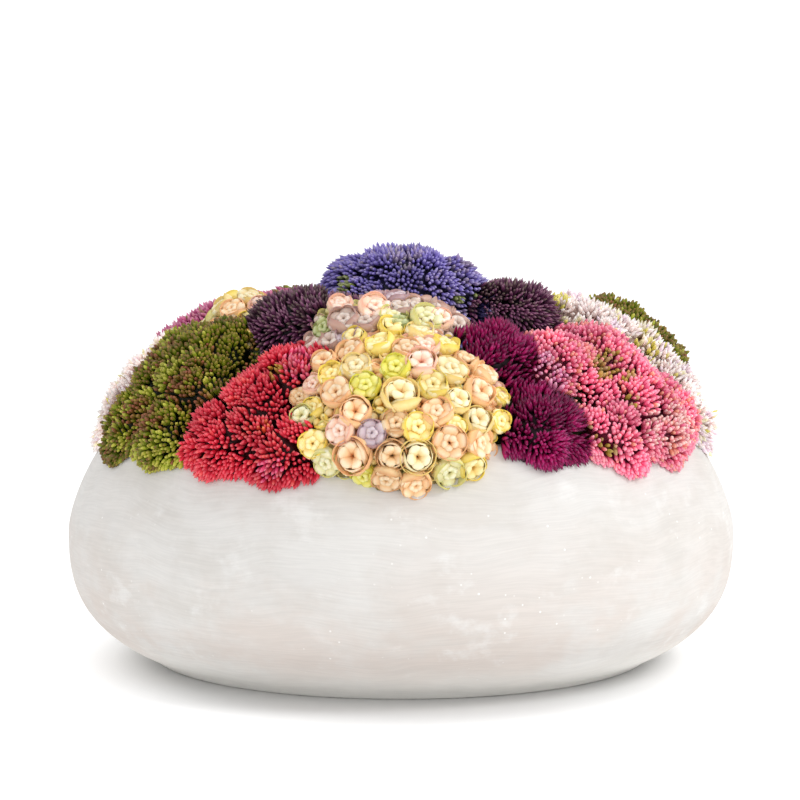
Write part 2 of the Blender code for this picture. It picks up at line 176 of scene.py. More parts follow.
# Outline of a bud from the foot of its stalk at -1 to its tip at 0, as shares of its length and
# width: plump as an egg, pointed, or slim as a needle
PLUMP_BUD = ((-1, 0), (-0.52, 0.13), (-0.34, 0.45), (-0.15, 0.48), (-0.04, 0.26), (0, 0))
POINTED_BUD = ((-1, 0), (-0.58, 0.12), (-0.36, 0.47), (-0.17, 0.38), (0, 0))
SLIM_BUD = ((-1, 0), (-0.66, 0.16), (-0.40, 0.46), (-0.18, 0.38), (0, 0))
BUD_SIDES = 5

# length, width, spacing: of one bud with its stalk, in mm; umbel: how far apart the umbels are that
# a head's buds splay from, and arch: the radius that an umbel's tips lie on, in mm; splay: how much
# a bud leans with its umbel; varieties: colour of stalk, body and tip, with each one's share, which
# is 0 where it only grows in patches
# The stalk colours are dark and blend up the lower half of each bud: partly a stalk's own colour,
# partly painted shade low between the buds.
BudKind = namedtuple("BudKind", "outline length width spacing umbel arch splay varieties")
BUD_KINDS = {
    "coral": BudKind(POINTED_BUD, 15.0, 3.2, 2.4, 22, 38, 1.0, (
        ("#6A0812", "#CC223A", "#E85664", 10), ("#741018", "#DA3448", "#F07278", 6),
        ("#86200E", "#DC4C30", "#EE8C58", 0), ("#5E3A12", "#A87A2A", "#C8A048", 0),
        ("#86143A", "#E04470", "#F684A0", 0),
    )),
    "green": BudKind(PLUMP_BUD, 14.0, 2.8, 2.35, 20, 30, 0.9, (
        ("#232C04", "#5A680E", "#7C5630", 8), ("#2A3806", "#788616", "#8C7428", 6),
        ("#3A480C", "#A4AE34", "#B8B44C", 2), ("#221A0A", "#6A4A18", "#8E5038", 2),
    )),
    "pink": BudKind(PLUMP_BUD, 15.0, 3.0, 2.4, 22, 34, 1.0, (
        ("#A82E5A", "#EA608A", "#F896AC", 9), ("#B0365C", "#F27090", "#FAA8B8", 6),
        ("#B03E4A", "#F2747C", "#FAAAA0", 3), ("#5E6418", "#A4A030", "#B0943C", 0),
        ("#A03C76", "#DC6EAA", "#F0A8CA", 0), ("#C05C68", "#F6A4A2", "#FCD8CE", 0),
        ("#7C1C40", "#C8466A", "#E06C88", 0),
    )),
    "magenta": BudKind(SLIM_BUD, 18.0, 2.5, 2.1, 26, 34, 0.6, (
        ("#2A0316", "#9C1056", "#601642", 8), ("#340520", "#B8226E", "#863260", 5),
        ("#240314", "#780A44", "#401832", 5),
    )),
    "plum": BudKind(SLIM_BUD, 15.5, 2.6, 2.2, 28, 38, 0.5, (
        ("#200C1E", "#633254", "#8E6678", 8), ("#1C101A", "#503640", "#6C6250", 4),
        ("#240E22", "#763E64", "#A07488", 4),
    )),
    "violet": BudKind(POINTED_BUD, 15.0, 3.0, 2.4, 24, 32, 0.85, (
        ("#2A2254", "#7264B0", "#9A90CC", 9), ("#302854", "#8678BA", "#B2A8D8", 6),
        ("#3A3054", "#8E7AA4", "#B0A0BA", 4), ("#4A5020", "#7C8844", "#9A9A78", 0),
    )),
    "pale": BudKind(POINTED_BUD, 15.0, 3.2, 2.5, 20, 26, 0.9, (
        ("#EECCC4", "#FBEAE4", "#FFFAF6", 9), ("#C6AABE", "#E8D2E0", "#F4E6EE", 4),
        ("#C0A070", "#F2E6C4", "#FAF4DA", 3), ("#A8A040", "#D8CC60", "#E8DC80", 1),
    )),
    "raspberry": BudKind(POINTED_BUD, 15.0, 3.3, 2.6, 20, 26, 0.85, (
        ("#64183C", "#BC5486", "#D88CAA", 8), ("#6C1C40", "#CC6C92", "#E4A0B4", 5),
        ("#5A4630", "#8E7850", "#A0885C", 1),
    )),
}

# Patches of one variety that the photograph shows: pixel of the middle, radius in pixels, and the
# number of the variety; then the share of the buds there that it takes
PATCHES = {
    "pink_sedum_right": (
        (610, 361, 15, 3), (627, 372, 8, 3), (633, 398, 7, 3), (590, 433, 8, 3), (610, 447, 12, 3),
        (586, 461, 8, 2), (526, 332, 8, 2), (671, 427, 25, 5), (549, 373, 24, 4), (642, 425, 12, 6),
    ),
    "coral_sedum_left": ((264, 425, 7, 2), (274, 369, 7, 3), (269, 471, 15, 4), (300, 362, 18, 4)),
    "green_sedum_left": (
        (157, 462, 30, 2), (210, 377, 7, 2), (167, 370, 8, 2), (181, 386, 20, 3), (138, 415, 18, 3),
        (200, 405, 18, 3), (225, 345, 26, 1),
    ),
    "violet_sedum_top": ((341, 283, 9, 3), (481, 298, 8, 3), (464, 301, 6, 3), (408, 253, 15, 2)),
    "pale_sedum_upper": ((590, 310, 22, 0), (560, 300, 10, 3)),
    "pale_sedum_lower": ((700, 390, 18, 0), (705, 445, 14, 1)),
    "lilac_sedum_left": ((105, 400, 90, 0),),
}
PATCH_SHARE = 0.7

# Painted shade: the dark colour of what lies under each kind's buds or rosettes, cores, scales and
# stems, which stands in for the deep shade between them
CORE_SHADE_COLOURS = {
    "coral": "#3E040C",
    "green": "#161C04",
    "pink": "#7A1C3A",
    "magenta": "#20030F",
    "plum": "#0C040C",
    "violet": "#1C1638",
    "pale": "#BEA298",
    "raspberry": "#3C0C24",
    "cream": "#7A6A38",
    "blush": "#5A4A3C",
}

# Buds: how unevenly their tips stand, lean and are sized, how an umbel's arch varies and bends
# down at its edge, how long a bud's body is, how many have their umbel's variety instead of one of
# their own, and how far a variety's colours spread; then how they keep clear of the bowl and hang
# over its lip, the more the closer they are to it
TIP_JITTER = 0.0009
LEAN_JITTER = 0.12
SIZE_JITTER = 0.10
SIZE_LIMIT = 0.25
UMBEL_LIFT = 0.0014
UMBEL_EDGE = 0.62
ARCH_RANGE = (0.85, 1.25)
BODY_SHARE = 0.35
UMBEL_VARIETY_SHARE = 0.45
VARIETY_SPREAD = 0.3
BUD_CLEARANCE = 0.0012
HANG = 1.6
DROOP = ((0.003, 0.014), (0.9, 0.0))
LIP_SPACING = 0.72

# Dark scales, painted shade that covers the bowl's shoulder under the heads where it would show
# between the buds: their lowest height, how deep inside the canopy they lie, how far apart they are,
# their half width and half thickness, and the sides and rings that each is made of
SHADE_SCALES_FROM = 0.120
SHADE_SCALE_COVER = 0.0065
SHADE_SCALE_SPACING = 0.0036
SHADE_SCALE_SIZE = (0.0030, 0.0030, 0.0010)
SHADE_SCALE_SIDES = 7
SHADE_SCALE_RINGS = 4

# Resting: the steps in which a bud that touches the bowl is lifted off it; then how deep the dark
# cores, which are painted shade, lie inside the canopy, and how finely and how clear of bowl and
# mound they are made
RESTING_STEP = 0.0008
RESTING_STEPS = 4
CORE_DEPTH = 0.0095
BUD_CORE_DEPTH = 0.0100
CORE_CLEARANCE = 0.0008
CORE_STEPS = 60
CORE_FACETING = 2

# Canopy: how widely the valleys between lobes are filled, how far apart in direction two lobes
# have to be for that; then how many directions are tried for places on it, how low the lowest one
# points, how often a place is moved towards the canopy, how many are worked out at a time and in
# how many shares, and one in how many is searched for the nearest place
VALLEY = 0.0060
PARTED = 0.30
TRIED = 210000
LOWEST_RISE = -0.10
SETTLING_STEPS = 4
CHUNK = 20000
SHARES = 8
SEARCHED_EVERY = 10

# Rosette colours: a warm painted shade deep in the cup at the petals' roots, petal, and petal tip,
# which is paler partly as a painted highlight; then sepal and sepal rim
ROSETTE_COLOURS = {
    "cream": ("#DCA25A", "#F8DEA2", "#FDF1CA", "#F8DE9C", "#EECC76"),
    "peach": ("#D0844A", "#F6C694", "#FCE2C0", "#F6CA96", "#EEAC78"),
    "gold": ("#D2942C", "#F8DC8A", "#FCEEB4", "#F6DE7C", "#EACA4C"),
    "acid": ("#A89C18", "#E6DC5C", "#F2EC94", "#E2D854", "#CEC836"),
    "mauve": ("#80646C", "#C8B0B8", "#DCCAD0", "#B89CA6", "#AC868C"),
    "tan": ("#A87440", "#ECBE8A", "#F6DAB4", "#EAC290", "#D89C68"),
    "pistachio": ("#AAA050", "#EAE2A8", "#F6F2CC", "#E8E2A2", "#D4CC74"),
    "rose": ("#D08068", "#F8CCB4", "#FCE4D4", "#F6CEB2", "#EAAC96"),
    "blush": ("#A88476", "#DEC6B8", "#EDDCD2", "#CCAA9C", "#B88E84"),
    "fern": ("#6A7430", "#A8B068", "#CCD29C", "#8C9448", "#7C8438"),
}
ROSETTE_NAMES = tuple(ROSETTE_COLOURS)

# How deep a rosette sinks, how many have a rolled heart, how unevenly they lean, how their petals
# tilt, how a scattered one's width varies, and how deep and clear of the bowl its seat is
ROSETTE_SINK = 0.0015
ROSE_SHARE = 0.30
ROSETTE_LEAN = 0.10
ROSETTE_TILTS = (0.15, 0.35)
ROSETTE_WIDTHS = (0.88, 1.06)
ROSETTE_SEAT = (0.006, 0.004)

# Seen rosettes wider than this, in mm, stand out and narrower ones lie deeper, by a share of
# the difference
STANDING_WIDTH = 20.5
STANDING_SHARE = 0.4

# Sepals and petals are made for a rosette 2 across with its face at the origin. A sepal: how much
# each shape flares, where its root is and how far it spans outwards and upwards, half the angle
# that it spans at its root, three heights and its rim, in radians, how far one edge tucks under
# the next, how much its edges dip, how thick it is, how far its rim closes in and from where on,
# how soon it spreads, how steeply it climbs, and how much a flare lowers it
SEPALS = {"upright sepal": 0.0, "open sepal": 0.06, "closed sepal": -0.08}
SEPAL_ROOT = (0.16, -1.05)
SEPAL_SPAN = (0.80, 1.22)
SEPAL_HALF_WIDTHS = (0.70, 0.95, 1.10, 1.10, 0.62)
SEPAL_TWIST = 0.05
SEPAL_DIP = 0.10
SEPAL_THICKNESS = 0.040
SEPAL_CLOSING = 0.10
SEPAL_CLOSES_FROM = 0.7
SEPAL_SPREADING = 1.25
SEPAL_CLIMBING = 0.9
SEPAL_FLARE_DIP = 0.25

# Petals: length, width, thickness and curl; then how thick they are at their root, as a share,
# and how much they gain towards the tip, and the depth of the groove along them
PETALS = {"petal": (0.88, 0.96, 0.56, 0.50), "small petal": (0.48, 0.56, 0.40, 0.50)}
PETAL_SWELL = 0.62
PETAL_GROOVE = 0.10

# Rings of a rosette, from its cup inwards: shape (none for the cup's own sepal), size as a share,
# number of petals, radius and height of their roots, whether the rosette's tilt counts and what
# is added to it, turn from the cup, unevenness in radians, and the part that colours them
Ring = namedtuple("Ring", "shape size count radius height tilting lean turn wobble part")
CUP = Ring(None, 1, 4, 0, 0, 0, 0, 0, 0.13, 1)
SMALL_ROSETTE = (
    Ring(None, 1, 3, 0, 0, 0, 0, 0, 0.06, 1),
    Ring("petal", 1, 3, 0.04, -0.50, 1, 0, 0.6, 0.06, 0.3),
)
ROLLED_HEART = (
    Ring("closed sepal", 0.86, 3, 0, 0.04, 0, 0, 0.4, 0.08, 0.6),
    Ring("petal", 0.84, 5, 0.02, -0.34, 1, 0.25, 0, 0.10, 0.3),
)
PLUMP_HEART = (
    Ring("petal", 1.06, 5, 0.05, -0.46, 1, 0, 0.6, 0.08, 0.3),
    Ring("small petal", 1, 5, 0.04, -0.34, 1, 0.4, 0, 0.10, 0),
)

# Around the rosettes that the photograph shows, none is scattered: how far from a seen one, as
# seen in the photograph, a scattered one starts, in its pixels, how much a seen one is enlarged,
# and how squarely a place has to face the view for this; then how deep the core of a head lies
SEEN_REACH = 15
SEEN_SWELL = 1.06
FACING = 0.25
ROSETTE_CORE_DEPTH = 0.0095

# Rosettes are laid in two rounds, whole ones and then small ones sunk in the gaps: share of a
# whole one's width, how close their middles may come as a share of both widths, and how much
# deeper they sit in mm; then the depth from which on a rosette counts as small
ROSETTE_ROUNDS = ((1.0, 0.41, 0.0), (0.7, 0.32, 4.0))
FILLER_DEPTH = 0.0035

# How far a scattered rosette's middle keeps from another head's buds, as a share of its width
BORDER_SHARE = 0.34

# How much of its width a rosette keeps clear of buds, and how far past its edge a head of buds
# fills the places that no rosette covers
ROSETTE_COVER = 0.46
EDGE_REACH = 0.006

# Rosettes that the photograph shows: pixel of the middle, width in mm, colour; then the colours
# that scattered ones take in turn
ROSETTES_SEEN = {
    "cream_rosettes_front": (
        (378, 339, 20, "gold"), (349, 350, 19, "peach"), (407, 344, 18, "peach"),
        (426, 341, 18, "rose"), (446, 340, 19, "gold"), (467, 357, 17, "tan"), (356, 364, 21, "cream"),
        (330, 370, 18, "gold"), (395, 365, 20, "acid"), (421, 361, 21, "rose"), (453, 367, 22, "cream"),
        (311, 382, 15, "rose"), (335, 391, 21, "peach"), (365, 386, 19, "acid"),
        (401, 395, 24, "cream"), (433, 385, 21, "gold"), (459, 399, 19, "cream"),
        (482, 389, 21, "peach"), (302, 397, 14, "tan"), (502, 394, 14, "gold"), (312, 407, 15, "gold"),
        (356, 411, 21, "peach"), (436, 411, 20, "peach"), (479, 418, 20, "cream"),
        (307, 421, 16, "pistachio"), (396, 420, 18, "tan"), (419, 426, 20, "gold"),
        (372, 433, 18, "mauve"), (337, 430, 19, "rose"), (500, 422, 16, "gold"), (459, 425, 15, "gold"),
        (450, 443, 22, "peach"), (313, 444, 19, "gold"), (484, 442, 20, "peach"),
        (352, 456, 24, "peach"), (392, 456, 20, "tan"), (418, 457, 23, "cream"),
        (325, 464, 19, "pistachio"), (475, 469, 20, "gold"), (497, 463, 15, "pistachio"),
        (451, 474, 20, "pistachio"), (362, 479, 17, "acid"), (386, 483, 19, "tan"),
        (417, 488, 20, "tan"),
    ),
    "blush_rosettes_front": (
        (321, 325, 16, "fern"), (343, 317, 21, "blush"), (376, 306, 22, "rose"),
        (365, 323, 20, "blush"), (350, 336, 19, "mauve"), (395, 316, 19, "pistachio"),
        (401, 305, 16, "blush"), (414, 305, 16, "blush"), (427, 317, 21, "pistachio"),
        (443, 316, 17, "rose"), (457, 324, 16, "blush"), (399, 330, 17, "fern"),
        (421, 334, 15, "mauve"), (317, 345, 18, "blush"), (331, 341, 17, "blush"),
    ),
}
ROSETTE_SCATTER = {
    "cream": ("cream", "peach", "gold", "cream", "rose", "tan", "pistachio", "gold", "peach"),
    "blush": ("blush", "rose", "blush", "pistachio", "mauve", "blush"),
}

# Seeds of the random draws, to which each head's number is added
HEAD_SEED = 100
ROSETTE_SEED = 200

Shape = namedtuple("Shape", "points corners sizes along")
Places = namedtuple("Places", "turns origins")

# Settings of nodes that map a value smoothly and mix colours, and a Mix node's sockets for its two
# colours and for the colour that it gives
SMOOTH = {"interpolation_type": "SMOOTHSTEP"}
COLOURS = {"data_type": "RGBA"}
LOWER, UPPER, MIXED = 6, 7, 2


def linear(hex_colour):
    """An sRGB hex value as linear red, green, blue and full alpha."""
    channels = [int(hex_colour[i : i + 2], 16) / 255 for i in (1, 3, 5)]
    return (*[c / 12.92 if c <= 0.04045 else ((c + 0.055) / 1.055) ** 2.4 for c in channels], 1)


def unit(vectors):
    return vectors / np.linalg.norm(vectors, axis=-1, keepdims=True)


def bowl_outside(height, inset=0.0):
    """The bowl's radius at heights, on its outside or on the curve that lies inset from it."""
    height = np.asarray(height, float)
    low = height < BOWL_WIDEST_HEIGHT
    reach = np.where(low, BOWL_BELLY_DEPTH, BOWL_SHOULDER_RISE) - inset
    power = np.where(low, BOWL_BELLY_POWER, BOWL_SHOULDER_POWER)
    share = np.minimum(np.abs(height - BOWL_WIDEST_HEIGHT) / reach, 1)
    return (BOWL_RADIUS - inset) * (1 - share**power) ** (1 / power)


def hull_reach(tilt):
    """How far the bowl and mound together reach along a direction tilted outwards from +Z."""
    sine, cosine = math.sin(tilt), math.cos(tilt)
    heights = np.linspace(BOWL_WIDEST_HEIGHT, BOWL_HEIGHT, PROFILE_STEPS)
    bowl = float(np.max(bowl_outside(heights) * sine + heights * cosine))
    dome = math.hypot(MOUND_RADIUS * sine, MOUND_RISE * cosine)
    return max(bowl, MOUND_BROW_HEIGHT * cosine + dome)


class Lobe:
    """A ball of bloom, cut flat where it rests on the hull of the bowl and mound."""

    def __init__(self, azimuth, latitude, radius_mm, lift_mm):
        turn, climb = math.radians(azimuth), math.radians(latitude)
        side = np.array((math.sin(turn), -math.cos(turn), 0))
        upright = np.array((0, 0, 1))
        point = side * DOME_RADIUS * math.cos(climb)
        point[2] = DOME_BASE_HEIGHT + DOME_RISE * math.sin(climb)
        slope = side * math.cos(climb) / DOME_RADIUS
        slope[2] = math.sin(climb) / DOME_RISE
        self.radius = radius_mm * MM
        self.centre = point + unit(slope) * (lift_mm * MM - self.radius)
        tilt = math.atan2(math.hypot(slope[0], slope[1]), slope[2])
        tilt = min(tilt, STEEPEST_SEAT)
        seat_normal = side * math.sin(tilt) + upright * math.cos(tilt)
        seat_rise = hull_reach(tilt) + CLEARANCE - self.centre @ seat_normal
        climb = MIDDLE_CLIMB * (self.radius - CORE_DEPTH - seat_rise)
        self.middle = self.centre + seat_normal * (seat_rise + climb)
        self.wall_normals = []
        self.wall_levels = []

    def part_from(self, other):
        """Adds the plane through the ring where this lobe meets a lobe of another head."""
        offset = other.centre - self.centre
        distance = np.linalg.norm(offset)
        if distance > self.radius + other.radius + NEIGHBOUR_REACH:
            return
        towards = offset / distance
        reach = (distance**2 + self.radius**2 - other.radius**2) / (2 * distance)
        self.wall_normals.append(towards)
        self.wall_levels.append(self.centre @ towards + reach - BLOOM_GAP / 2)

    def core_points(self, directions, radius):
        """Where rays from the lobe's middle leave the ball or meet a wall, the bowl or the mound."""
        offset = self.middle - self.centre
        along = directions @ offset
        inside = max(radius**2 - offset @ offset, 0)
        reach = -along + np.sqrt(along**2 + inside)
        normals = np.array(self.wall_normals).reshape(-1, 3)
        speeds = directions @ normals.T
        room = np.array(self.wall_levels) - normals @ self.middle
        with np.errstate(divide="ignore", invalid="ignore"):
            walls = np.where(speeds > TOWARDS, room / speeds, 1).min(axis=1, initial=1)
        reach = np.minimum(reach, np.maximum(walls, 0))
        shares = np.linspace(0, 1, CORE_STEPS)
        points = self.middle + directions[:, None] * (reach[:, None] * shares)[..., None]
        blocked = ~clear_of_bowl(points, CORE_CLEARANCE) | ~clear_of_mound(points, CORE_CLEARANCE)
        first = np.where(blocked.any(axis=1), blocked.argmax(axis=1), CORE_STEPS) - 1
        return points[np.arange(len(points)), np.maximum(first, 0)]


def make_lobes():
    """Every head's lobes, each parted from the lobes of the other heads."""
    heads = {name: [Lobe(*row) for row in rows] for name, (_, rows) in HEADS.items()}
    for name, lobes in heads.items():
        others = [lobe for other, group in heads.items() if other != name for lobe in group]
        for lobe in lobes:
            for other in others:
                lobe.part_from(other)
    return heads


def spiral(count):
    """Directions spread evenly over a ball, along a golden-angle spiral."""
    index = np.arange(count)
    rise = 1 - 2 * (index + 0.5) / count
    reach = np.sqrt(1 - rise**2)
    angle = index * GOLDEN_ANGLE
    return np.stack((reach * np.cos(angle), reach * np.sin(angle), rise), axis=1)


def turns_to(axes, spins):
    """Rotations that take +Z to each axis, with a spin about it."""
    helper = np.where(np.abs(axes[:, 2:]) < NEARLY_UPRIGHT, (0.0, 0.0, 1.0), (1.0, 0.0, 0.0))
    x = unit(np.cross(helper, axes))
    y = np.cross(axes, x)
    cosine, sine = np.cos(spins)[:, None], np.sin(spins)[:, None]
    return np.stack((x * cosine + y * sine, y * cosine - x * sine, axes), axis=2)


def view_axes():
    """The photograph's right, up and back directions."""
    sine, cosine = math.sin(VIEW_ELEVATION), math.cos(VIEW_ELEVATION)
    return np.array((1.0, 0, 0)), np.array((0, sine, cosine)), np.array((0, -cosine, sine))


def seen_at(points):
    """The photograph's pixels that show the points."""
    right, up, back = view_axes()
    offset = points - VIEW_TARGET
    scale = VIEW_PIXELS_PER_METRE * VIEW_DISTANCE / (VIEW_DISTANCE - offset @ back)
    across, down = VIEW_TARGET_PIXEL
    return np.stack((across + scale * (offset @ right), down - scale * (offset @ up)), axis=-1)


def sight(pixel):
    """Start and direction of the ray that a pixel of the photograph shows."""
    right, up, back = view_axes()
    across = (pixel[0] - VIEW_TARGET_PIXEL[0]) / VIEW_PIXELS_PER_METRE
    rise = (VIEW_TARGET_PIXEL[1] - pixel[1]) / VIEW_PIXELS_PER_METRE
    return VIEW_TARGET + back * VIEW_DISTANCE, unit(right * across + up * rise - back * VIEW_DISTANCE)


def deselect_all():
    bpy.ops.object.select_all(action="DESELECT")


def read(items, field, kind=float, width=1):
    """One field of all of a mesh's items, as an array."""
    values = np.zeros(len(items) * width, kind)
    items.foreach_get(field, values)
    return values


def mesh_points(thing):
    return read(thing.data.vertices, "co", width=3).reshape(-1, 3)


def take_shape(thing):
    """The modelled object as arrays, for copies of it, and the object removed."""
    mesh = thing.data
    points = mesh_points(thing)
    corners = read(mesh.loops, "vertex_index", int)
    sizes = read(mesh.polygons, "loop_total", int)
    along = np.zeros(len(points))
    if "along" in mesh.attributes:
        along = read(mesh.attributes["along"].data, "value")
    bpy.data.objects.remove(thing, do_unlink=True)
    bpy.data.meshes.remove(mesh)
    return Shape(points, corners, sizes, along)


def store_along(thing, values):
    """Keeps how far along its bud or petal each vertex lies, from 0 at the root to 1 at the tip."""
    attribute = thing.data.attributes.new("along", "FLOAT", "POINT")
    attribute.data.foreach_set("value", np.asarray(values, np.float32))


def edit_all(thing):
    """Opens the object in edit mode, all selected."""
    bpy.context.view_layer.objects.active = thing
    bpy.ops.object.mode_set(mode="EDIT")
    bpy.ops.mesh.select_all(action="SELECT")


def edit_past(thing, axis, level):
    """Opens the object in edit mode, with only what lies past a level along an axis selected."""
    bpy.ops.object.mode_set(mode="EDIT")
    bpy.ops.mesh.select_mode(type="VERT")
    bpy.ops.mesh.select_all(action="DESELECT")
    bpy.ops.object.mode_set(mode="OBJECT")
    for vertex in thing.data.vertices:
        vertex.select = vertex.co[axis] > level
    bpy.ops.object.mode_set(mode="EDIT")


def close_outwards():
    """Turns all faces of the open object outwards, and leaves edit mode."""
    bpy.ops.mesh.select_all(action="SELECT")
    bpy.ops.mesh.normals_make_consistent(inside=False)
    bpy.ops.object.mode_set(mode="OBJECT")


def model_bud(outline):
    """A bud on its stalk: a cone whose top is extruded and scaled up the outline to a point."""
    deselect_all()
    foot = outline[0][0]
    height, radius = outline[1]
    middle = (height + foot) / 2
    bpy.ops.mesh.primitive_cone_add(
        vertices=BUD_SIDES, radius1=0, radius2=radius, depth=height - foot, location=(0, 0, middle)
    )
    bpy.ops.object.transform_apply(location=True, rotation=True, scale=True)
    thing = bpy.context.active_object
    edit_past(thing, 2, middle)
    for next_height, next_radius in outline[2:]:
        rise = (0, 0, next_height - height)
        bpy.ops.mesh.extrude_region_move(TRANSFORM_OT_translate={"value": rise})
        if next_radius:
            share = next_radius / radius
            bpy.ops.transform.resize(value=(share, share, 1), center_override=(0, 0, next_height))
            height, radius = next_height, next_radius
    bpy.ops.mesh.merge(type="CENTER")
    close_outwards()
    store_along(thing, 1 + mesh_points(thing)[:, 2])
    return take_shape(thing)


def model_shared():
    """What all heads have: a lobe's core and a scale, both balls, and a stem along +Z."""
    deselect_all()
    bpy.ops.mesh.primitive_ico_sphere_add(subdivisions=CORE_FACETING, radius=1)
    core = take_shape(bpy.context.active_object)
    bpy.ops.mesh.primitive_uv_sphere_add(segments=SHADE_SCALE_SIDES, ring_count=SHADE_SCALE_RINGS, radius=1)
    scale = take_shape(bpy.context.active_object)
    bpy.ops.mesh.primitive_cylinder_add(
        vertices=STEM_SIDES, radius=STEM_RADIUS, depth=STEM_LENGTH, location=(0, 0, STEM_LENGTH / 2)
    )
    bpy.ops.object.transform_apply(location=True, rotation=True, scale=True)
    stem = bpy.context.active_object
    edit_all(stem)
    bpy.ops.mesh.bevel(offset=STEM_RADIUS * STEM_ROUNDING, segments=2)
    bpy.ops.object.mode_set(mode="OBJECT")
    return {"core": core, "scale": scale, "stem": take_shape(stem)}


def model_sepal(flare):
    """One broad sepal of a rosette's cup, which climbs from its root to its blunt rim."""
    deselect_all()
    bpy.ops.mesh.primitive_grid_add(x_subdivisions=4, y_subdivisions=4, size=1)
    thing = bpy.context.active_object
    across, along, _ = (mesh_points(thing) * (2, 1, 1) + (0, 0.5, 0)).T
    quarter = along * math.pi / 2
    climb = np.sin(quarter)
    spread = np.sin(np.minimum(along * SEPAL_SPREADING, 1) * math.pi / 2)
    reach = SEPAL_ROOT[0] + SEPAL_SPAN[0] * spread + flare * along**3
    closing = np.clip((along - SEPAL_CLOSES_FROM) / (1 - SEPAL_CLOSES_FROM), 0, 1) ** 2
    reach = reach - SEPAL_CLOSING * closing
    reach = reach * (1 + SEPAL_TWIST * across * climb)
    height = SEPAL_ROOT[1] + SEPAL_SPAN[1] * (1 - np.cos(quarter)) ** SEPAL_CLIMBING
    height = height - SEPAL_FLARE_DIP * flare * along**2
    angle = across * np.interp(along, (0, 0.25, 0.5, 0.75, 1), SEPAL_HALF_WIDTHS)
    dip = SEPAL_DIP * across**2 * climb
    points = np.stack((reach * np.cos(angle), reach * np.sin(angle), height - dip), axis=1)
    thing.data.vertices.foreach_set("co", points.ravel())
    store_along(thing, along)
    thickness = thing.modifiers.new("thickness", "SOLIDIFY")
    thickness.thickness = SEPAL_THICKNESS
    thickness.offset = 0
    bpy.context.view_layer.objects.active = thing
    bpy.ops.object.modifier_apply(modifier=thickness.name)
    return take_shape(thing)


def model_petal(length, width, thickness, curl):
    """One plump petal from its root at the origin, along +X and curling up, round at its tip."""
    deselect_all()
    bpy.ops.mesh.primitive_uv_sphere_add(segments=8, ring_count=5, radius=0.5)
    thing = bpy.context.active_object
    points = mesh_points(thing)
    along = points[:, 2] + 0.5
    swell = PETAL_SWELL + PETAL_SWELL * along
    across = points[:, 0] * width * swell
    groove = -PETAL_GROOVE * thickness * np.cos(points[:, 0] * math.tau) * along
    depth = points[:, 1] * thickness * swell + groove
    bend = curl * along
    x = length * along - depth * np.sin(bend)
    z = length * 0.5 * curl * along**2 + depth * np.cos(bend)
    thing.data.vertices.foreach_set("co", np.stack((x, across, z), axis=1).ravel())
    store_along(thing, along)
    edit_all(thing)
    close_outwards()
    return take_shape(thing)


class Pile:
    """Copies of modelled shapes, gathered into one mesh with the values that colour them."""

    def __init__(self):
        self.points = []
        self.corners = []
        self.sizes = []
        self.marks = []
        self.parts = []
        self.count = 0

    def add(self, shape, places, variety, shade, part):
        """Adds a copy at each place. Variety, shade and part are a number for each copy."""
        copies = len(places.origins)
        points = np.einsum("nij,vj->nvi", places.turns, shape.points) + places.origins[:, None]
        self.gather(shape, points.reshape(-1, 3), copies)
        vertices = len(shape.points)
        along = np.tile(shape.along, copies)
        columns = [along] + [np.repeat(np.broadcast_to(v, copies), vertices) for v in (variety, shade)]
        self.marks.append(np.stack(columns, axis=1))
        self.parts.append(np.repeat(np.broadcast_to(part, copies), vertices))

    def gather(self, shape, points, copies):
        vertices = len(shape.points)
        starts = self.count + vertices * np.arange(copies)
        self.points.append(points)
        self.corners.append((shape.corners[None] + starts[:, None]).ravel())
        self.sizes.append(np.tile(shape.sizes, copies))
        self.count += vertices * copies

    def build(self, name):
        """The mesh object that holds all the copies, shaded smooth."""
        points = np.concatenate(self.points).astype(np.float32)
        corners = np.concatenate(self.corners).astype(np.int32)
        sizes = np.concatenate(self.sizes).astype(np.int32)
        mesh = bpy.data.meshes.new(name)
        mesh.vertices.add(len(points))
        mesh.vertices.foreach_set("co", points.ravel())
        mesh.loops.add(len(corners))
        mesh.loops.foreach_set("vertex_index", corners)
        mesh.polygons.add(len(sizes))
        mesh.polygons.foreach_set("loop_start", np.concatenate(([0], np.cumsum(sizes)[:-1])))
        mesh.polygons.foreach_set("use_smooth", np.ones(len(sizes), bool))
        mesh.update(calc_edges=True)
        marks = mesh.attributes.new("marks", "FLOAT_VECTOR", "POINT")
        marks.data.foreach_set("vector", np.concatenate(self.marks).astype(np.float32).ravel())
        parts = mesh.attributes.new("part", "FLOAT", "POINT")
        parts.data.foreach_set("value", np.concatenate(self.parts).astype(np.float32))
        thing = bpy.data.objects.new(name, mesh)
        bpy.context.scene.collection.objects.link(thing)
        return thing


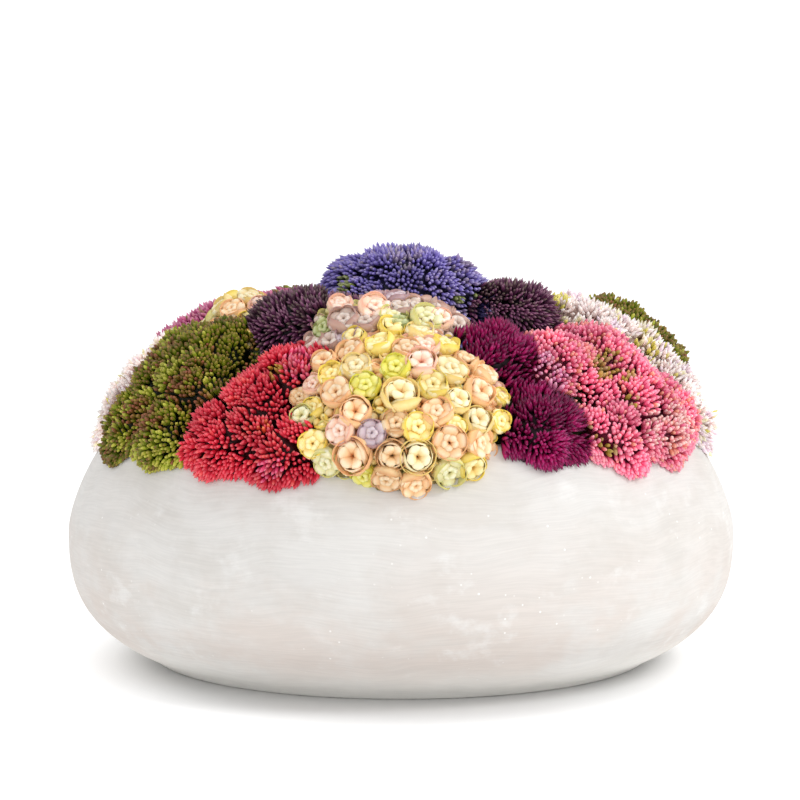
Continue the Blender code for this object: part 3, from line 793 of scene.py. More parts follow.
class Canopy:
    """The surface that all the blooms' tips lie on: the lobes' balls with the valleys filled."""

    def __init__(self, heads):
        lobes = [lobe for group in heads.values() for lobe in group]
        self.centres = np.array([lobe.centre for lobe in lobes])
        self.radii = np.array([lobe.radius for lobe in lobes])
        self.heads = np.repeat(np.arange(len(heads)), [len(group) for group in heads.values()])

    def level(self, points):
        """How far points lie outside the canopy, and its normal there."""
        offsets = points[:, None] - self.centres
        lengths = np.linalg.norm(offsets, axis=2)
        depths = lengths - self.radii
        nearest = depths.argmin(axis=1)
        rows = np.arange(len(points))
        least = depths[rows, nearest]
        normals = offsets / lengths[..., None]
        spread = 1 - np.einsum("plk,pk->pl", normals, normals[rows, nearest])
        weights = np.exp((least[:, None] - depths) / VALLEY) * np.clip(spread / PARTED, 0, 1)
        weights[rows, nearest] = 1
        fill = VALLEY * np.log(weights.sum(axis=1))
        return least - fill, unit((normals * weights[..., None]).sum(axis=1))

    def settle(self, points):
        """The points moved onto the canopy, and its normals there."""
        parts = []
        for start in range(0, len(points), CHUNK):
            part = points[start : start + CHUNK]
            for _ in range(SETTLING_STEPS):
                depth, normal = self.level(part)
                part = part - normal * depth[:, None]
            parts.append((part, normal))
        return [np.concatenate(column) for column in zip(*parts)]

    def owners(self, points):
        """The number of the head whose lobe holds each point."""
        power = ((points[:, None] - self.centres) ** 2).sum(axis=2) - self.radii**2
        return self.heads[power.argmin(axis=1)]

    def cross(self, start, directions, leaving, head=None):
        """How far rays go until they leave, or first enter, the balls of all heads or one."""
        own = slice(None) if head is None else self.heads == head
        offsets = start - self.centres[own]
        along = directions @ offsets.T
        inside = along**2 - (offsets**2).sum(axis=1) + self.radii[own] ** 2
        root = np.sqrt(np.maximum(inside, 0))
        if leaving:
            return np.where(inside > 0, root - along, -np.inf).max(axis=1)
        return np.where(inside > 0, -root - along, np.inf).min(axis=1)

    def places(self):
        """Many places spread over the canopy above the bowl: point, normal and head of each."""
        directions = spiral(TRIED)
        directions = directions[directions[:, 2] > LOWEST_RISE]
        points, normals, owners = [], [], []
        for start in range(SHARES):
            part = directions[start::SHARES]
            reach = self.cross(HEART, part, True)
            part = HEART + part[reach > 0] * reach[reach > 0, None]
            point, normal = self.settle(part)
            keep = clear_of_bowl(point, 0)
            points.append(point[keep])
            normals.append(normal[keep])
            owners.append(self.owners(point[keep]))
        return np.concatenate(points), np.concatenate(normals), np.concatenate(owners)


def clear_of_bowl(points, clearance):
    """Whether points are over the bowl's lip or outside its wall."""
    radii = np.hypot(points[..., 0], points[..., 1])
    outside = radii > bowl_outside(points[..., 2]) + clearance
    return (points[..., 2] > BOWL_HEIGHT + clearance) | outside


def clear_of_mound(points, clearance):
    """Whether points are outside the foam mound's dome."""
    radii = np.hypot(points[..., 0], points[..., 1]) / (MOUND_RADIUS + clearance)
    rise = (points[..., 2] - MOUND_BROW_HEIGHT) / (MOUND_RISE + clearance)
    return np.hypot(radii, rise) > 1


def along_the_bowl(points):
    """Directions down the bowl's outside and square off it, and how far off it points lie."""
    outward = unit(points * (1, 1, 0))
    heights = points[:, 2]
    above, below = bowl_outside(heights + BOWL_SLOPE_STEP), bowl_outside(heights - BOWL_SLOPE_STEP)
    spread = ((below - above) / (2 * BOWL_SLOPE_STEP))[:, None]
    square = unit(outward + (0, 0, 1) * spread)
    gaps = np.hypot(points[:, 0], points[:, 1]) - bowl_outside(heights)
    gaps = gaps * (square * outward).sum(axis=1)
    return unit(outward * spread + (0, 0, -1)), square, gaps


def tree_of(points):
    """A search tree of the points."""
    tree = kdtree.KDTree(len(points))
    for index, point in enumerate(points):
        tree.insert(point, index)
    tree.balance()
    return tree


def distances_to(points, others):
    """How far each point lies from the nearest of the others, only some of which are searched."""
    tree = tree_of(others[::SEARCHED_EVERY])
    return np.array([tree.find(point)[2] for point in points])


def thinned(points, spacing, draw):
    """Numbers of points picked at random so that no two lie closer than the spacing."""
    tree = tree_of(points)
    free = np.ones(len(points), bool)
    kept = []
    for index in draw.permutation(len(points)):
        if free[index]:
            kept.append(index)
            for _, other, _ in tree.find_range(points[index], spacing):
                free[other] = False
    return np.array(kept, int)


def lent_places(points, owners, heads, rims):
    """Which places rosettes cover, and the owners once heads of buds fill up to the rosettes.

    Places beside a rosette head's edge that no rosette covers go to the nearest head of buds.
    """
    taken = np.zeros(len(points), bool)
    for point, _, width, _, _ in [rim for group in rims.values() for rim in group]:
        taken |= np.linalg.norm(points - point, axis=1) < width * ROSETTE_COVER
    among_rosettes = np.isin(owners, [i for i, name in enumerate(heads) if name in rims])
    budded = np.flatnonzero(~among_rosettes)[::SEARCHED_EVERY]
    tree = tree_of(points[budded])
    lent = owners.copy()
    open_places = among_rosettes & ~taken & clear_of_bowl(points, EDGE_REACH)
    for index in np.flatnonzero(open_places):
        _, nearest, distance = tree.find(points[index])
        if distance < EDGE_REACH:
            lent[index] = owners[budded[nearest]]
    return taken, lent


def plan_shade_scales(canopy):
    """Places for dark scale pieces on the bowl's shoulder, painted shade, and the number of the head
    over each.
    """
    heights = np.arange(SHADE_SCALES_FROM, BOWL_HEIGHT, SHADE_SCALE_SPACING)
    count = int(math.tau * BOWL_RADIUS / SHADE_SCALE_SPACING)
    height, turn = np.meshgrid(heights, math.tau * np.arange(count) / count)
    height, turn = height.ravel(), turn.ravel()
    radius = bowl_outside(height)
    points = np.stack((radius * np.sin(turn), -radius * np.cos(turn), height), axis=1)
    points = points[canopy.level(points)[0] < -SHADE_SCALE_COVER]
    outward = along_the_bowl(points)[1]
    turns = turns_to(outward, np.zeros(len(points))) * SHADE_SCALE_SIZE
    return Places(turns, points + outward * SHADE_SCALE_SIZE[2]), canopy.owners(points)


def bud_places(points, normals, kind, draw):
    """Tips and directions of a head's buds, with the umbel that each one belongs to."""
    seeds = points[thinned(points, kind.umbel * MM, draw)]
    shallow = ~clear_of_bowl(points - normals * BUD_CORE_DEPTH, 0)
    chosen = thinned(points, kind.spacing * MM, draw)
    close = thinned(points, kind.spacing * LIP_SPACING * MM, draw)
    chosen = np.concatenate((chosen[~shallow[chosen]], close[shallow[close]]))
    points, normals = points[chosen], normals[chosen]
    umbels = np.linalg.norm(points[:, None] - seeds[None], axis=2).argmin(axis=1)
    arches = (kind.arch * MM * draw.uniform(*ARCH_RANGE, len(seeds)))[umbels]
    offsets = points - seeds[umbels]
    flat = offsets - normals * (offsets * normals).sum(axis=1, keepdims=True)
    reach = np.minimum(np.linalg.norm(flat, axis=1), arches * UMBEL_EDGE)
    drop = arches - np.sqrt(arches**2 - reach**2)
    lift = UMBEL_LIFT - drop + draw.normal(0, TIP_JITTER, len(points))
    tips = points + normals * lift[:, None]
    axes = normals + flat / arches[:, None] * kind.splay
    axes = unit(axes + draw.normal(0, LEAN_JITTER, axes.shape))
    body = kind.length * MM * BODY_SHARE
    downhill, outward, gaps = along_the_bowl(tips)
    axes = unit(axes + downhill * np.interp(gaps, *DROOP)[:, None])
    hanging = ~clear_of_bowl(tips - axes * body, BUD_CLEARANCE)
    axes[hanging] = unit(axes[hanging] + downhill[hanging] * HANG)
    for _ in range(RESTING_STEPS):
        stuck = hanging & ~clear_of_bowl(tips - axes * body, BUD_CLEARANCE)
        tips[stuck] += outward[stuck] * RESTING_STEP
    keep = clear_of_bowl(tips, BUD_CLEARANCE) & clear_of_bowl(tips - axes * body, BUD_CLEARANCE)
    return tips[keep], axes[keep], umbels[keep], len(seeds)


def draw_varieties(name, kind, tips, umbels, umbel_count, draw):
    """A variety from 0 to 1 for each bud, mostly shared by its umbel, or by its patch."""
    shares = np.array([variety[3] for variety in kind.varieties], float)
    shares /= shares.sum()
    kinds = len(shares)
    of_umbel = draw.choice(kinds, umbel_count, p=shares)[umbels]
    own = draw.choice(kinds, len(umbels), p=shares)
    chosen = np.where(draw.random(len(umbels)) < UMBEL_VARIETY_SHARE, of_umbel, own)
    pixels = seen_at(tips)
    for across, down, radius, variety in PATCHES.get(name, ()):
        near = np.linalg.norm(pixels - (across, down), axis=1) < radius
        chosen[near & (draw.random(len(tips)) < PATCH_SHARE)] = variety
    spread = draw.uniform(-VARIETY_SPREAD, VARIETY_SPREAD, len(umbels))
    return (chosen + 0.5 + spread) / kinds


def dress_core(pile, shapes, lobes, shade_scales, depth):
    """The dark middle of a head and the dark scale pieces on the bowl under it, both painted shade,
    and its stem down into the foam, in the same dark colour.
    """
    core = shapes["core"]
    for lobe in lobes:
        pile.gather(core, lobe.core_points(unit(core.points), lobe.radius - depth), 1)
        pile.marks.append(np.zeros((len(core.points), 3)))
        pile.parts.append(np.full(len(core.points), -1.0))
    pile.add(shapes["scale"], shade_scales, 0, 0, -1)
    downward = unit(HEART - lobes[0].middle)
    places = Places(turns_to(downward[None], np.zeros(1)), lobes[0].middle[None])
    pile.add(shapes["stem"], places, 0, 0, -1)


def dress_buds(name, lobes, shade_scales, kind, share, shapes, canopy_places, draw):
    """A head of buds: its core and stem, and a bud at every place."""
    pile = Pile()
    dress_core(pile, shapes, lobes, shade_scales, BUD_CORE_DEPTH)
    tips, axes, umbels, umbel_count = bud_places(*canopy_places, kind, draw)
    varieties = draw_varieties(name, kind, tips, umbels, umbel_count, draw)
    shade = 0.5 * draw.random(umbel_count)[umbels] + 0.5 * draw.random(len(tips))
    scale = share * (1 + draw.normal(0, SIZE_JITTER, len(tips)).clip(-SIZE_LIMIT, SIZE_LIMIT))
    size = np.stack((scale * kind.width, scale * kind.width, scale * kind.length), axis=1) * MM
    turns = turns_to(axes, draw.uniform(0, math.tau, len(tips))) * size[:, None, :]
    pile.add(shapes[kind.outline], Places(turns, tips), varieties, shade, 0)
    return pile.build(f"{name}_buds")


def rosette_rims(name, canopy, head, canopy_places, whole_width, draw):
    """Middle, outward direction, width, depth and colour of each of a head's rosettes.

    Each place comes with how far it lies from the nearest place of another head.
    """
    rims = []
    for across, down, width, colour in ROSETTES_SEEN.get(name, ()):
        start, direction = sight((across, down))
        reach = canopy.cross(start, direction[None], False, head)
        if np.isfinite(reach[0]):
            point, outward = canopy.settle(start + direction[None] * reach[0])
            sunk = (STANDING_WIDTH - width) * STANDING_SHARE * MM
            rims.append((point[0], outward[0], width * SEEN_SWELL * MM, sunk, colour))
    scatter = ROSETTE_SCATTER[HEADS[name][0]]
    points, normals, foreign = canopy_places
    seat_depth, clearance = ROSETTE_SEAT
    seated = clear_of_bowl(points - normals * seat_depth, clearance)
    points, normals, foreign = points[seated], normals[seated], foreign[seated]
    if rims:
        seen = np.array([pixel[:2] for pixel in ROSETTES_SEEN[name]], float)
        apart = np.linalg.norm(seen_at(points)[:, None] - seen, axis=2).min(axis=1)
        faces_view = normals @ view_axes()[2] > FACING
    order = draw.permutation(len(points))
    for size, packing, depth in ROSETTE_ROUNDS:
        room = foreign * packing / BORDER_SHARE
        if rims and depth == 0:
            room[faces_view & (apart < SEEN_REACH)] = 0
        for rim in rims:
            room = np.minimum(room, np.linalg.norm(points - rim[0], axis=1) - rim[2] * packing)
        for index in order:
            width = size * whole_width * draw.uniform(*ROSETTE_WIDTHS)
            if room[index] < width * packing:
                continue
            point, outward = points[index], normals[index]
            colour = scatter[len(rims) % len(scatter)]
            rims.append((point, outward, width, depth * MM, colour))
            room = np.minimum(room, np.linalg.norm(points - point, axis=1) - width * packing)
    return rims


def ring_places(ring, place, origin, scale, tilt, spin, draw):
    """Places for a ring's petals round a rosette's axis, each leaning out by the tilt."""
    turn = spin + ring.turn
    angles = turn + math.tau * np.arange(ring.count) / ring.count
    angles = angles + draw.normal(0, ring.wobble, ring.count)
    tilts = tilt * ring.tilting + ring.lean + draw.normal(0, ring.wobble, ring.count)
    turns, origins = [], []
    for angle, lean in zip(angles, tilts):
        cosine, sine = math.cos(angle), math.sin(angle)
        about = np.array(((cosine, -sine, 0), (sine, cosine, 0), (0, 0, 1)))
        cosine, sine = math.cos(lean), math.sin(lean)
        climb = np.array(((cosine, 0, -sine), (0, 1, 0), (sine, 0, cosine)))
        turns.append(place @ about @ climb * scale * ring.size)
        root = np.array((ring.radius, 0, ring.height))
        origins.append(origin + place @ about @ root * scale * ring.size)
    return Places(np.array(turns), np.array(origins))


def rings_of(depth, draw):
    """A rosette's rings, from its cup inwards. Its heart is drawn once its cup is laid."""
    if depth >= FILLER_DEPTH:
        yield from SMALL_ROSETTE
    else:
        yield CUP
        yield from ROLLED_HEART if draw.random() < ROSE_SHARE else PLUMP_HEART


def dress_rosettes(name, lobes, shade_scales, rims, shapes, draw):
    """A head of rosettes: each a cup of sepals round plump petals, or round a rolled heart."""
    pile = Pile()
    dress_core(pile, shapes, lobes, shade_scales, ROSETTE_CORE_DEPTH)
    for point, outward, width, depth, colour in rims:
        lean = unit(outward + draw.normal(0, ROSETTE_LEAN, 3))
        place = turns_to(lean[None], draw.uniform(0, math.tau, 1))[0]
        origin = point - lean * (ROSETTE_SINK + depth)
        variety = (ROSETTE_NAMES.index(colour) + 0.5) / len(ROSETTE_NAMES)
        shade = draw.random()
        sepal = tuple(SEPALS)[draw.integers(len(SEPALS))]
        spin = draw.uniform(0, math.tau)
        tilt = draw.uniform(*ROSETTE_TILTS)
        for ring in rings_of(depth, draw):
            places = ring_places(ring, place, origin, width / 2, tilt, spin, draw)
            pile.add(shapes[ring.shape or sepal], places, variety, shade, ring.part)
    return pile.build(f"{name}_petals")


def feed(tree, made, inputs):
    """Links a node's inputs to sockets or sets them to values, by name or in the node's order."""
    for key, value in inputs.items() if isinstance(inputs, dict) else enumerate(inputs):
        if isinstance(value, bpy.types.NodeSocket):
            tree.links.new(value, made.inputs[key])
        else:
            made.inputs[key].default_value = value


def node(tree, kind, settings, inputs):
    """Adds a node with its settings, links and values, and gives its outputs."""
    made = tree.nodes.new(f"ShaderNode{kind}")
    for key, value in settings.items():
        setattr(made, key, value)
    feed(tree, made, inputs)
    return made.outputs


def lay_over(tree, colour, *layers):
    """Lays colours over a colour, each by the product of its ranges.

    A range is a value, where it starts and ends, and the share of the colour at each end.
    """
    for over, *ranges in layers:
        shares = [node(tree, "MapRange", SMOOTH, span)[0] for span in ranges]
        share = shares[0]
        for other in shares[1:]:
            share = node(tree, "Math", {"operation": "MULTIPLY"}, (share, other))[0]
        colour = node(tree, "Mix", COLOURS, {0: share, LOWER: colour, UPPER: over})[MIXED]
    return colour


def new_material(name):
    """A new material with the usual shader, and its node tree."""
    material = bpy.data.materials.new(name)
    material.use_nodes = True
    return material, material.node_tree


def finish_shader(tree, colour, relief, strength, depth, values):
    """Gives the shader its colour, a bump by the relief, and what is the same all over."""
    bump = node(tree, "Bump", {}, {"Strength": strength, "Distance": depth, "Height": relief})[0]
    feed(tree, tree.nodes["Principled BSDF"], {"Base Color": colour, "Normal": bump, **values})


def read_marks(tree, rows):
    """How far along its bud or petal a point is, its shade, its part and its variety's colours.

    The variety runs from 0 to 1 over the rows, and picks a colour from each of their columns.
    """
    marks = node(tree, "Attribute", {"attribute_name": "marks"}, {})["Vector"]
    along, variety, shade = node(tree, "SeparateXYZ", {}, (marks,))
    part = node(tree, "Attribute", {"attribute_name": "part"}, {})["Fac"]
    picked = []
    for column in zip(*rows):
        colour = node(tree, "ValToRGB", {}, (variety,))[0]
        stops = colour.node.color_ramp.elements
        stops.remove(stops[1])
        for row, value in enumerate(column):
            position = (row + 0.5) / len(column)
            stop = stops.new(position) if row else stops[0]
            stop.position = position
            stop.color = value
        picked.append(colour)
    return along, shade, part, picked


def mottle(tree, colour, shade, size_mm, low, high):
    """Varies a colour's brightness by bud and by a soft noise of the given size."""
    place = node(tree, "TexCoord", {}, {})["Object"]
    pattern = {"Vector": place, "Scale": 1 / (size_mm * MM), "Detail": 3.0}
    noise = node(tree, "TexNoise", {}, pattern)[0]
    both = node(tree, "Math", {"operation": "ADD"}, (shade, noise))[0]
    value = node(tree, "MapRange", SMOOTH, (both, 0.4, 1.6, low, high))[0]
    return node(tree, "HueSaturation", {}, {"Color": colour, "Value": value})[0], noise


def bud_material(name, looks):
    """Soft moulded plastic, dyed and misted: the tip, body and stalk of a bud differ in colour. The
    dark stalk colour, which also spreads up the lower half of the bud, is partly the stalk's own and
    partly painted shade.

    It gives the eye a satin bead with a paler or browner point, sitting in deep shade, which the dark
    core colour paints.
    """
    material, tree = new_material(f"moulded_buds_{name}")
    rows = [[linear(c) for c in row[:3]] for row in BUD_KINDS[name].varieties]
    rows[0][1] = tuple(getattr(looks, name))
    along, shade, part, (stalk, body, tip) = read_marks(tree, rows)
    # The stalk colour, over the stalk and the lower half of the bud, is partly painted shade.
    whole = lay_over(tree, stalk, (body, (along, 0.38, 0.72, 0, 1)), (tip, (along, 0.80, 1, 0, 1)))
    toned, noise = mottle(tree, whole, shade, 1.5, 0.72, 1.22)
    # Painted shade: cores, scales and stems take the kind's dark shade colour.
    final = lay_over(tree, toned, (linear(CORE_SHADE_COLOURS[name]), (part, -0.6, -0.4, 1, 0)))
    values = {"Roughness": 0.46, "Specular IOR Level": 0.3}
    finish_shader(tree, final, noise, 0.15, 0.0003, values)
    return material


def petal_material(name, looks):
    """Soft moulded plastic, sprayed lightly: waxy petals with a warm painted shade at their roots and
    tinted rims. Their paler tips are partly a painted highlight.

    It gives the eye a soft glow at the thin rims and deep, warm shade inside the cups, partly painted:
    the dark core colour is painted shade too.
    """
    material, tree = new_material(f"moulded_petals_{name}")
    rows = [[linear(c) for c in row] for row in ROSETTE_COLOURS.values()]
    rows[ROSETTE_NAMES.index(name)][1] = tuple(getattr(looks, name))
    along, shade, part, (throat_shade, petal, tip, sepal, rim) = read_marks(tree, rows)
    # Petals and sepals rise from a warm painted shade at their roots; petals end in a paler tip that is
    # partly a painted highlight.
    petals = lay_over(tree, throat_shade, (petal, (along, 0.05, 0.55, 0, 1)), (tip, (along, 0.6, 1, 0, 1)))
    sepals = lay_over(tree, throat_shade, (sepal, (along, 0, 0.4, 0, 1)), (rim, (along, 0.8, 1, 0, 1)))
    whole = lay_over(tree, petals, (sepals, (part, 0.45, 0.9, 0, 1)))
    toned, noise = mottle(tree, whole, shade, 4.0, 0.86, 1.08)
    # Painted shade: cores, scales and stems take the kind's dark shade colour.
    final = lay_over(tree, toned, (linear(CORE_SHADE_COLOURS[name]), (part, -0.6, -0.4, 1, 0)))
    values = {
        "Roughness": 0.42,
        "Subsurface Weight": 0.12,
        "Subsurface Radius": (0.004, 0.002, 0.001),
        "Subsurface Scale": 1.0,
    }
    finish_shader(tree, final, noise, 0.2, 0.0004, values)
    return material


def whitewash_material(looks):
    """Limewash brushed over cast stone: chalky and matt, thin in places.

    It gives the eye clouds of brighter and greyer white, faint level brush lines, warm stone where
    the wash is worn low down, and a few bright grains. The clouds are 28, 42 and 75 mm high, the
    lines 24 and 50 mm long, and the cells that a grain may stand in 5.4 mm wide.
    """
    material, tree = new_material("limewash_over_cast_stone")
    place = node(tree, "TexCoord", {}, {})["Object"]
    drift = node(tree, "TexNoise", {}, {"Vector": place, "Scale": 1 / 0.07, "Detail": 1.0})[1]
    bent = node(tree, "VectorMath", {"operation": "SCALE"}, {0: drift, "Scale": 0.020})[0]
    wandering = node(tree, "VectorMath", {"operation": "ADD"}, (place, bent))[0]
    patterns = []
    stretch = 1 / 0.7
    for source, shift, length, width, detail, roughness in (
        (wandering, 0.0, 0.024, looks.stroke_width, 3.0, 0.60),
        (wandering, 0.0, 0.050, looks.stroke_width * 3.5, 3.0, 0.60),
        (place, 0.0, 0.042 * stretch, 0.042, 5.0, 0.62),
        (place, 3.1, 0.075 * stretch, 0.075, 5.0, 0.62),
        (place, 7.7, 0.028 * stretch, 0.028, 5.0, 0.62),
    ):
        scale = (1 / length, 1 / length, 1 / width)
        fit = {"Vector": source, "Location": (shift, shift, shift), "Scale": scale}
        fitted = node(tree, "Mapping", {}, fit)[0]
        grain = {"Vector": fitted, "Scale": 1.0, "Detail": detail, "Roughness": roughness}
        patterns.append(node(tree, "TexNoise", {}, grain)[0])
    fine_lines, broad_lines, grey_clouds, worn_clouds, thick_clouds = patterns
    height = node(tree, "SeparateXYZ", {}, (place,))["Z"]
    colour = lay_over(
        tree,
        tuple(looks.wash_colour),
        (tuple(looks.ground_colour), (grey_clouds, 0.42, 0.66, 0, 0.75)),
        (
            tuple(looks.patch_colour),
            (worn_clouds, 0.38, 0.60, 0, 0.9),
            (height, 0.02, 0.13, 1.0, 0.18),
        ),
        (tuple(looks.thick_colour), (thick_clouds, 0.56, 0.72, 0, 0.65)),
        # Painted light: a bright band at the foot, strongest at the base, lifts the shade there.
        (tuple(looks.foot_painted_light), (height, 0.0, 0.034, 1.0, 0.0)),
    )
    fine = node(tree, "MapRange", SMOOTH, (fine_lines, 0.3, 0.7, -0.032, 0.032))[0]
    broad = node(tree, "MapRange", SMOOTH, (broad_lines, 0.3, 0.7, 0.982, 1.018))[0]
    brightness = node(tree, "Math", {"operation": "ADD"}, (fine, broad))[0]
    lined = node(tree, "HueSaturation", {}, {"Color": colour, "Value": brightness})[0]
    grains = node(tree, "TexVoronoi", {}, {"Vector": place, "Scale": 1 / 0.0054})
    chosen = node(tree, "SeparateXYZ", {}, (grains["Color"],))["X"]
    few = (chosen, 0.78, 0.88, 0, 1)
    dots = (grains["Distance"], 0.07, 0.17, 0.85, 0)
    gathered = (worn_clouds, 0.40, 0.62, 0.1, 1)
    final = lay_over(tree, lined, (linear("#FCFBFA"), few, dots, gathered))
    values = {"Roughness": 0.85, "Specular IOR Level": 0.2}
    finish_shader(tree, final, fine_lines, 0.3, 0.0002, values)
    return material


def foam_material():
    """Pressed floral foam under a skin of moss: matt and crumbly, and dark partly as painted shade
    between the heads.

    It gives the eye crumbs of 2.5 mm on clumps of about 17 mm, dark green between the heads.
    """
    material, tree = new_material("floral_foam_and_moss")
    place = node(tree, "TexCoord", {}, {})["Object"]
    crumbs = node(tree, "TexNoise", {}, {"Vector": place, "Scale": 1 / 0.0025, "Detail": 5.0})[0]
    clumps = node(tree, "TexNoise", {}, {"Vector": place, "Scale": 3 / 0.050, "Detail": 2.0})[0]
    # These dark greens are partly moss colour and partly painted shade between the heads.
    dark, green = linear("#141A0A"), linear("#3E4A20")
    moss = node(tree, "Mix", COLOURS, {0: clumps, LOWER: dark, UPPER: green})[MIXED]
    colour = lay_over(tree, moss, (linear("#5A6430"), (crumbs, 0.5, 0.8, 0, 1)))
    finish_shader(tree, colour, crumbs, 0.8, 0.001, {"Roughness": 0.95})
    return material


def finish_piece(thing, material, node_name, slot_name):
    """Gives a new piece its material and its body, and hides the CAD node that it stands for."""
    thing.data.materials.clear()
    thing.data.materials.append(material)
    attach(thing, "root")
    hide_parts(node_name)


def colour_property(name, description, hex_colour):
    return bpy.props.FloatVectorProperty(
        name=name, description=description, subtype="COLOR", size=4, default=linear(hex_colour)
    )


def number_property(name, description, default, unit="NONE"):
    return bpy.props.FloatProperty(name=name, description=description, default=default, unit=unit)


class SedumBowlLooks(bpy.types.PropertyGroup):
    """Finish of the bowl."""

    wash_colour: colour_property("Whitewash", "Colour of the brushed whitewash", "#D6D4D1")
    ground_colour: colour_property("Ground", "Grey that shows where the wash is thin", "#CCC8C3")
    patch_colour: colour_property("Worn patches", "Warm stone where the wash is worn", "#CFC5BE")
    thick_colour: colour_property("Thick patches", "Bright clouds where the wash is thick", "#E2E1DF")
    # The foot colour is painted light: a bright band that lifts the shade at the foot.
    foot_painted_light: colour_property("Foot", "Bright band at the foot, where the wash pooled", "#FCFAF5")
    stroke_width: number_property("Stroke width", "Width of one brush line", 0.0011, "LENGTH")


class SedumBudLooks(bpy.types.PropertyGroup):
    """Size of the buds, and the main colour of each kind."""

    size: number_property("Bud size", "Size of the buds, as a share of their kind's", 1.0)
    coral: colour_property("Coral", "Main colour of the coral buds", "#CC223A")
    green: colour_property("Green", "Main colour of the olive green buds", "#5A680E")
    pink: colour_property("Pink", "Main colour of the rose pink buds", "#EA608A")
    magenta: colour_property("Magenta", "Main colour of the magenta buds", "#9C1056")
    plum: colour_property("Plum", "Main colour of the blackish plum buds", "#633254")
    violet: colour_property("Violet", "Main colour of the violet buds", "#7264B0")
    pale: colour_property("Pale", "Main colour of the lilac white buds", "#FBEAE4")
    raspberry: colour_property("Raspberry", "Main colour of the raspberry buds", "#BC5486")


class SedumRosetteLooks(bpy.types.PropertyGroup):
    """Size of the scattered rosettes, and the main petal colour of each kind."""

    width: number_property("Rosette width", "Width of a whole rosette", 0.020, "LENGTH")
    cream: colour_property("Cream", "Main petal colour of the cream rosettes", "#F8DEA2")
    blush: colour_property("Blush", "Main petal colour of the blush rosettes", "#DEC6B8")


class SedumStageLooks(bpy.types.PropertyGroup):
    """Lights and floor."""

    key_power: number_property("Key power", "Power of the light at the upper right", 32, "POWER")
    fill_power: number_property("Fill power", "Power of the low light in front", 7.5, "POWER")
    sky_strength: number_property("Sky", "Brightness of the white room", 0.97)
    paper_glow: number_property("Paper glow", "Light that the paper gives, away from the bowl", 0.45)


class SEDUM_OT_bowl(bpy.types.Operator):
    """Turn the bowl from its profile and brush it with whitewash"""

    bl_idname = "sedum.bowl"
    bl_label = "Whitewashed bowl"

    def execute(self, context):
        edge = BOWL_HEIGHT - BOWL_LIP
        heights = np.linspace(edge, BOWL_FOOT, 46)
        outside = [*zip(bowl_outside(heights), heights)]
        heights = np.linspace(BOWL_WALL + BOWL_FOOT, edge, 12)
        inside = [*zip(bowl_outside(heights, BOWL_WALL), heights)]
        middle = (outside[0][0] + inside[-1][0]) / 2
        half = (outside[0][0] - inside[-1][0]) / 2
        arc = np.linspace(0, math.pi, 9)[1:-1]
        lip = [*zip(middle - half * np.cos(arc), edge + BOWL_LIP * np.sin(arc))]
        corners = [(outside[-1][0] - inset, height) for inset, height in BOWL_FOOT_CORNERS]
        base = [(BOWL_FLAT, 0), (0, 0), (0, BOWL_WALL), (BOWL_FLAT, BOWL_WALL)]
        floor = [(inside[0][0] - BOWL_FLOOR_EDGE, BOWL_WALL)]
        profile = outside + corners + base + floor + inside + lip
        deselect_all()
        bpy.ops.mesh.primitive_circle_add(vertices=len(profile), radius=1)
        bowl = context.active_object
        bowl.name = "bowl_whitewashed"
        flat = np.array([(x, 0, z) for x, z in profile], float)
        bowl.data.vertices.foreach_set("co", flat.ravel())
        edit_all(bowl)
        bpy.ops.mesh.spin(steps=BOWL_STEPS, angle=math.tau, center=(0, 0, 0), axis=(0, 0, 1))
        bpy.ops.mesh.select_all(action="SELECT")
        bpy.ops.mesh.remove_doubles(threshold=0.00002)
        close_outwards()
        bpy.ops.object.shade_smooth_by_angle(angle=math.radians(40))
        finish_piece(bowl, whitewash_material(context.scene.sedum_bowl), "bowl", "whitewash")
        return {"FINISHED"}


class SEDUM_OT_mound(bpy.types.Operator):
    """Finish the foam mound that carries the stems"""

    bl_idname = "sedum.mound"
    bl_label = "Foam mound"

    def execute(self, context):
        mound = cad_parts["foam_mound"]
        mound.data.materials.clear()
        mound.data.materials.append(foam_material())
        return {"FINISHED"}


@cache
def plan_heads(rosette_width):
    """Every head's lobes and scales; the canopy's places, normals and heads; the rosettes."""
    heads = make_lobes()
    canopy = Canopy(heads)
    points, normals, owners = canopy.places()
    rims = {}
    for index, name in enumerate(heads):
        if HEADS[name][0] in ROSETTE_SCATTER:
            own = owners == index
            foreign = distances_to(points[own], points[~own])
            draw = np.random.default_rng(ROSETTE_SEED + index)
            places = (points[own], normals[own], foreign)
            rims[name] = rosette_rims(name, canopy, index, places, rosette_width, draw)
    places, over = plan_shade_scales(canopy)
    shade_scales = [Places(*(part[over == index] for part in places)) for index in range(len(heads))]
    return heads, shade_scales, points, normals, owners, rims


class SEDUM_OT_rosettes(bpy.types.Operator):
    """Dress the heads of rosettes: cups of sepals round plump petals"""

    bl_idname = "sedum.rosettes"
    bl_label = "Rosette heads"

    def execute(self, context):
        looks = context.scene.sedum_rosettes
        shapes = model_shared()
        shapes.update({name: model_sepal(flare) for name, flare in SEPALS.items()})
        shapes.update({name: model_petal(*sizes) for name, sizes in PETALS.items()})
        heads, shade_scales, _, _, _, rims = plan_heads(looks.width)
        materials = {kind: petal_material(kind, looks) for kind in ROSETTE_SCATTER}
        for index, (name, lobes) in enumerate(heads.items()):
            if name in rims:
                draw = np.random.default_rng(HEAD_SEED + index)
                head = dress_rosettes(name, lobes, shade_scales[index], rims[name], shapes, draw)
                kind = HEADS[name][0]
                finish_piece(head, materials[kind], name, kind)
        return {"FINISHED"}


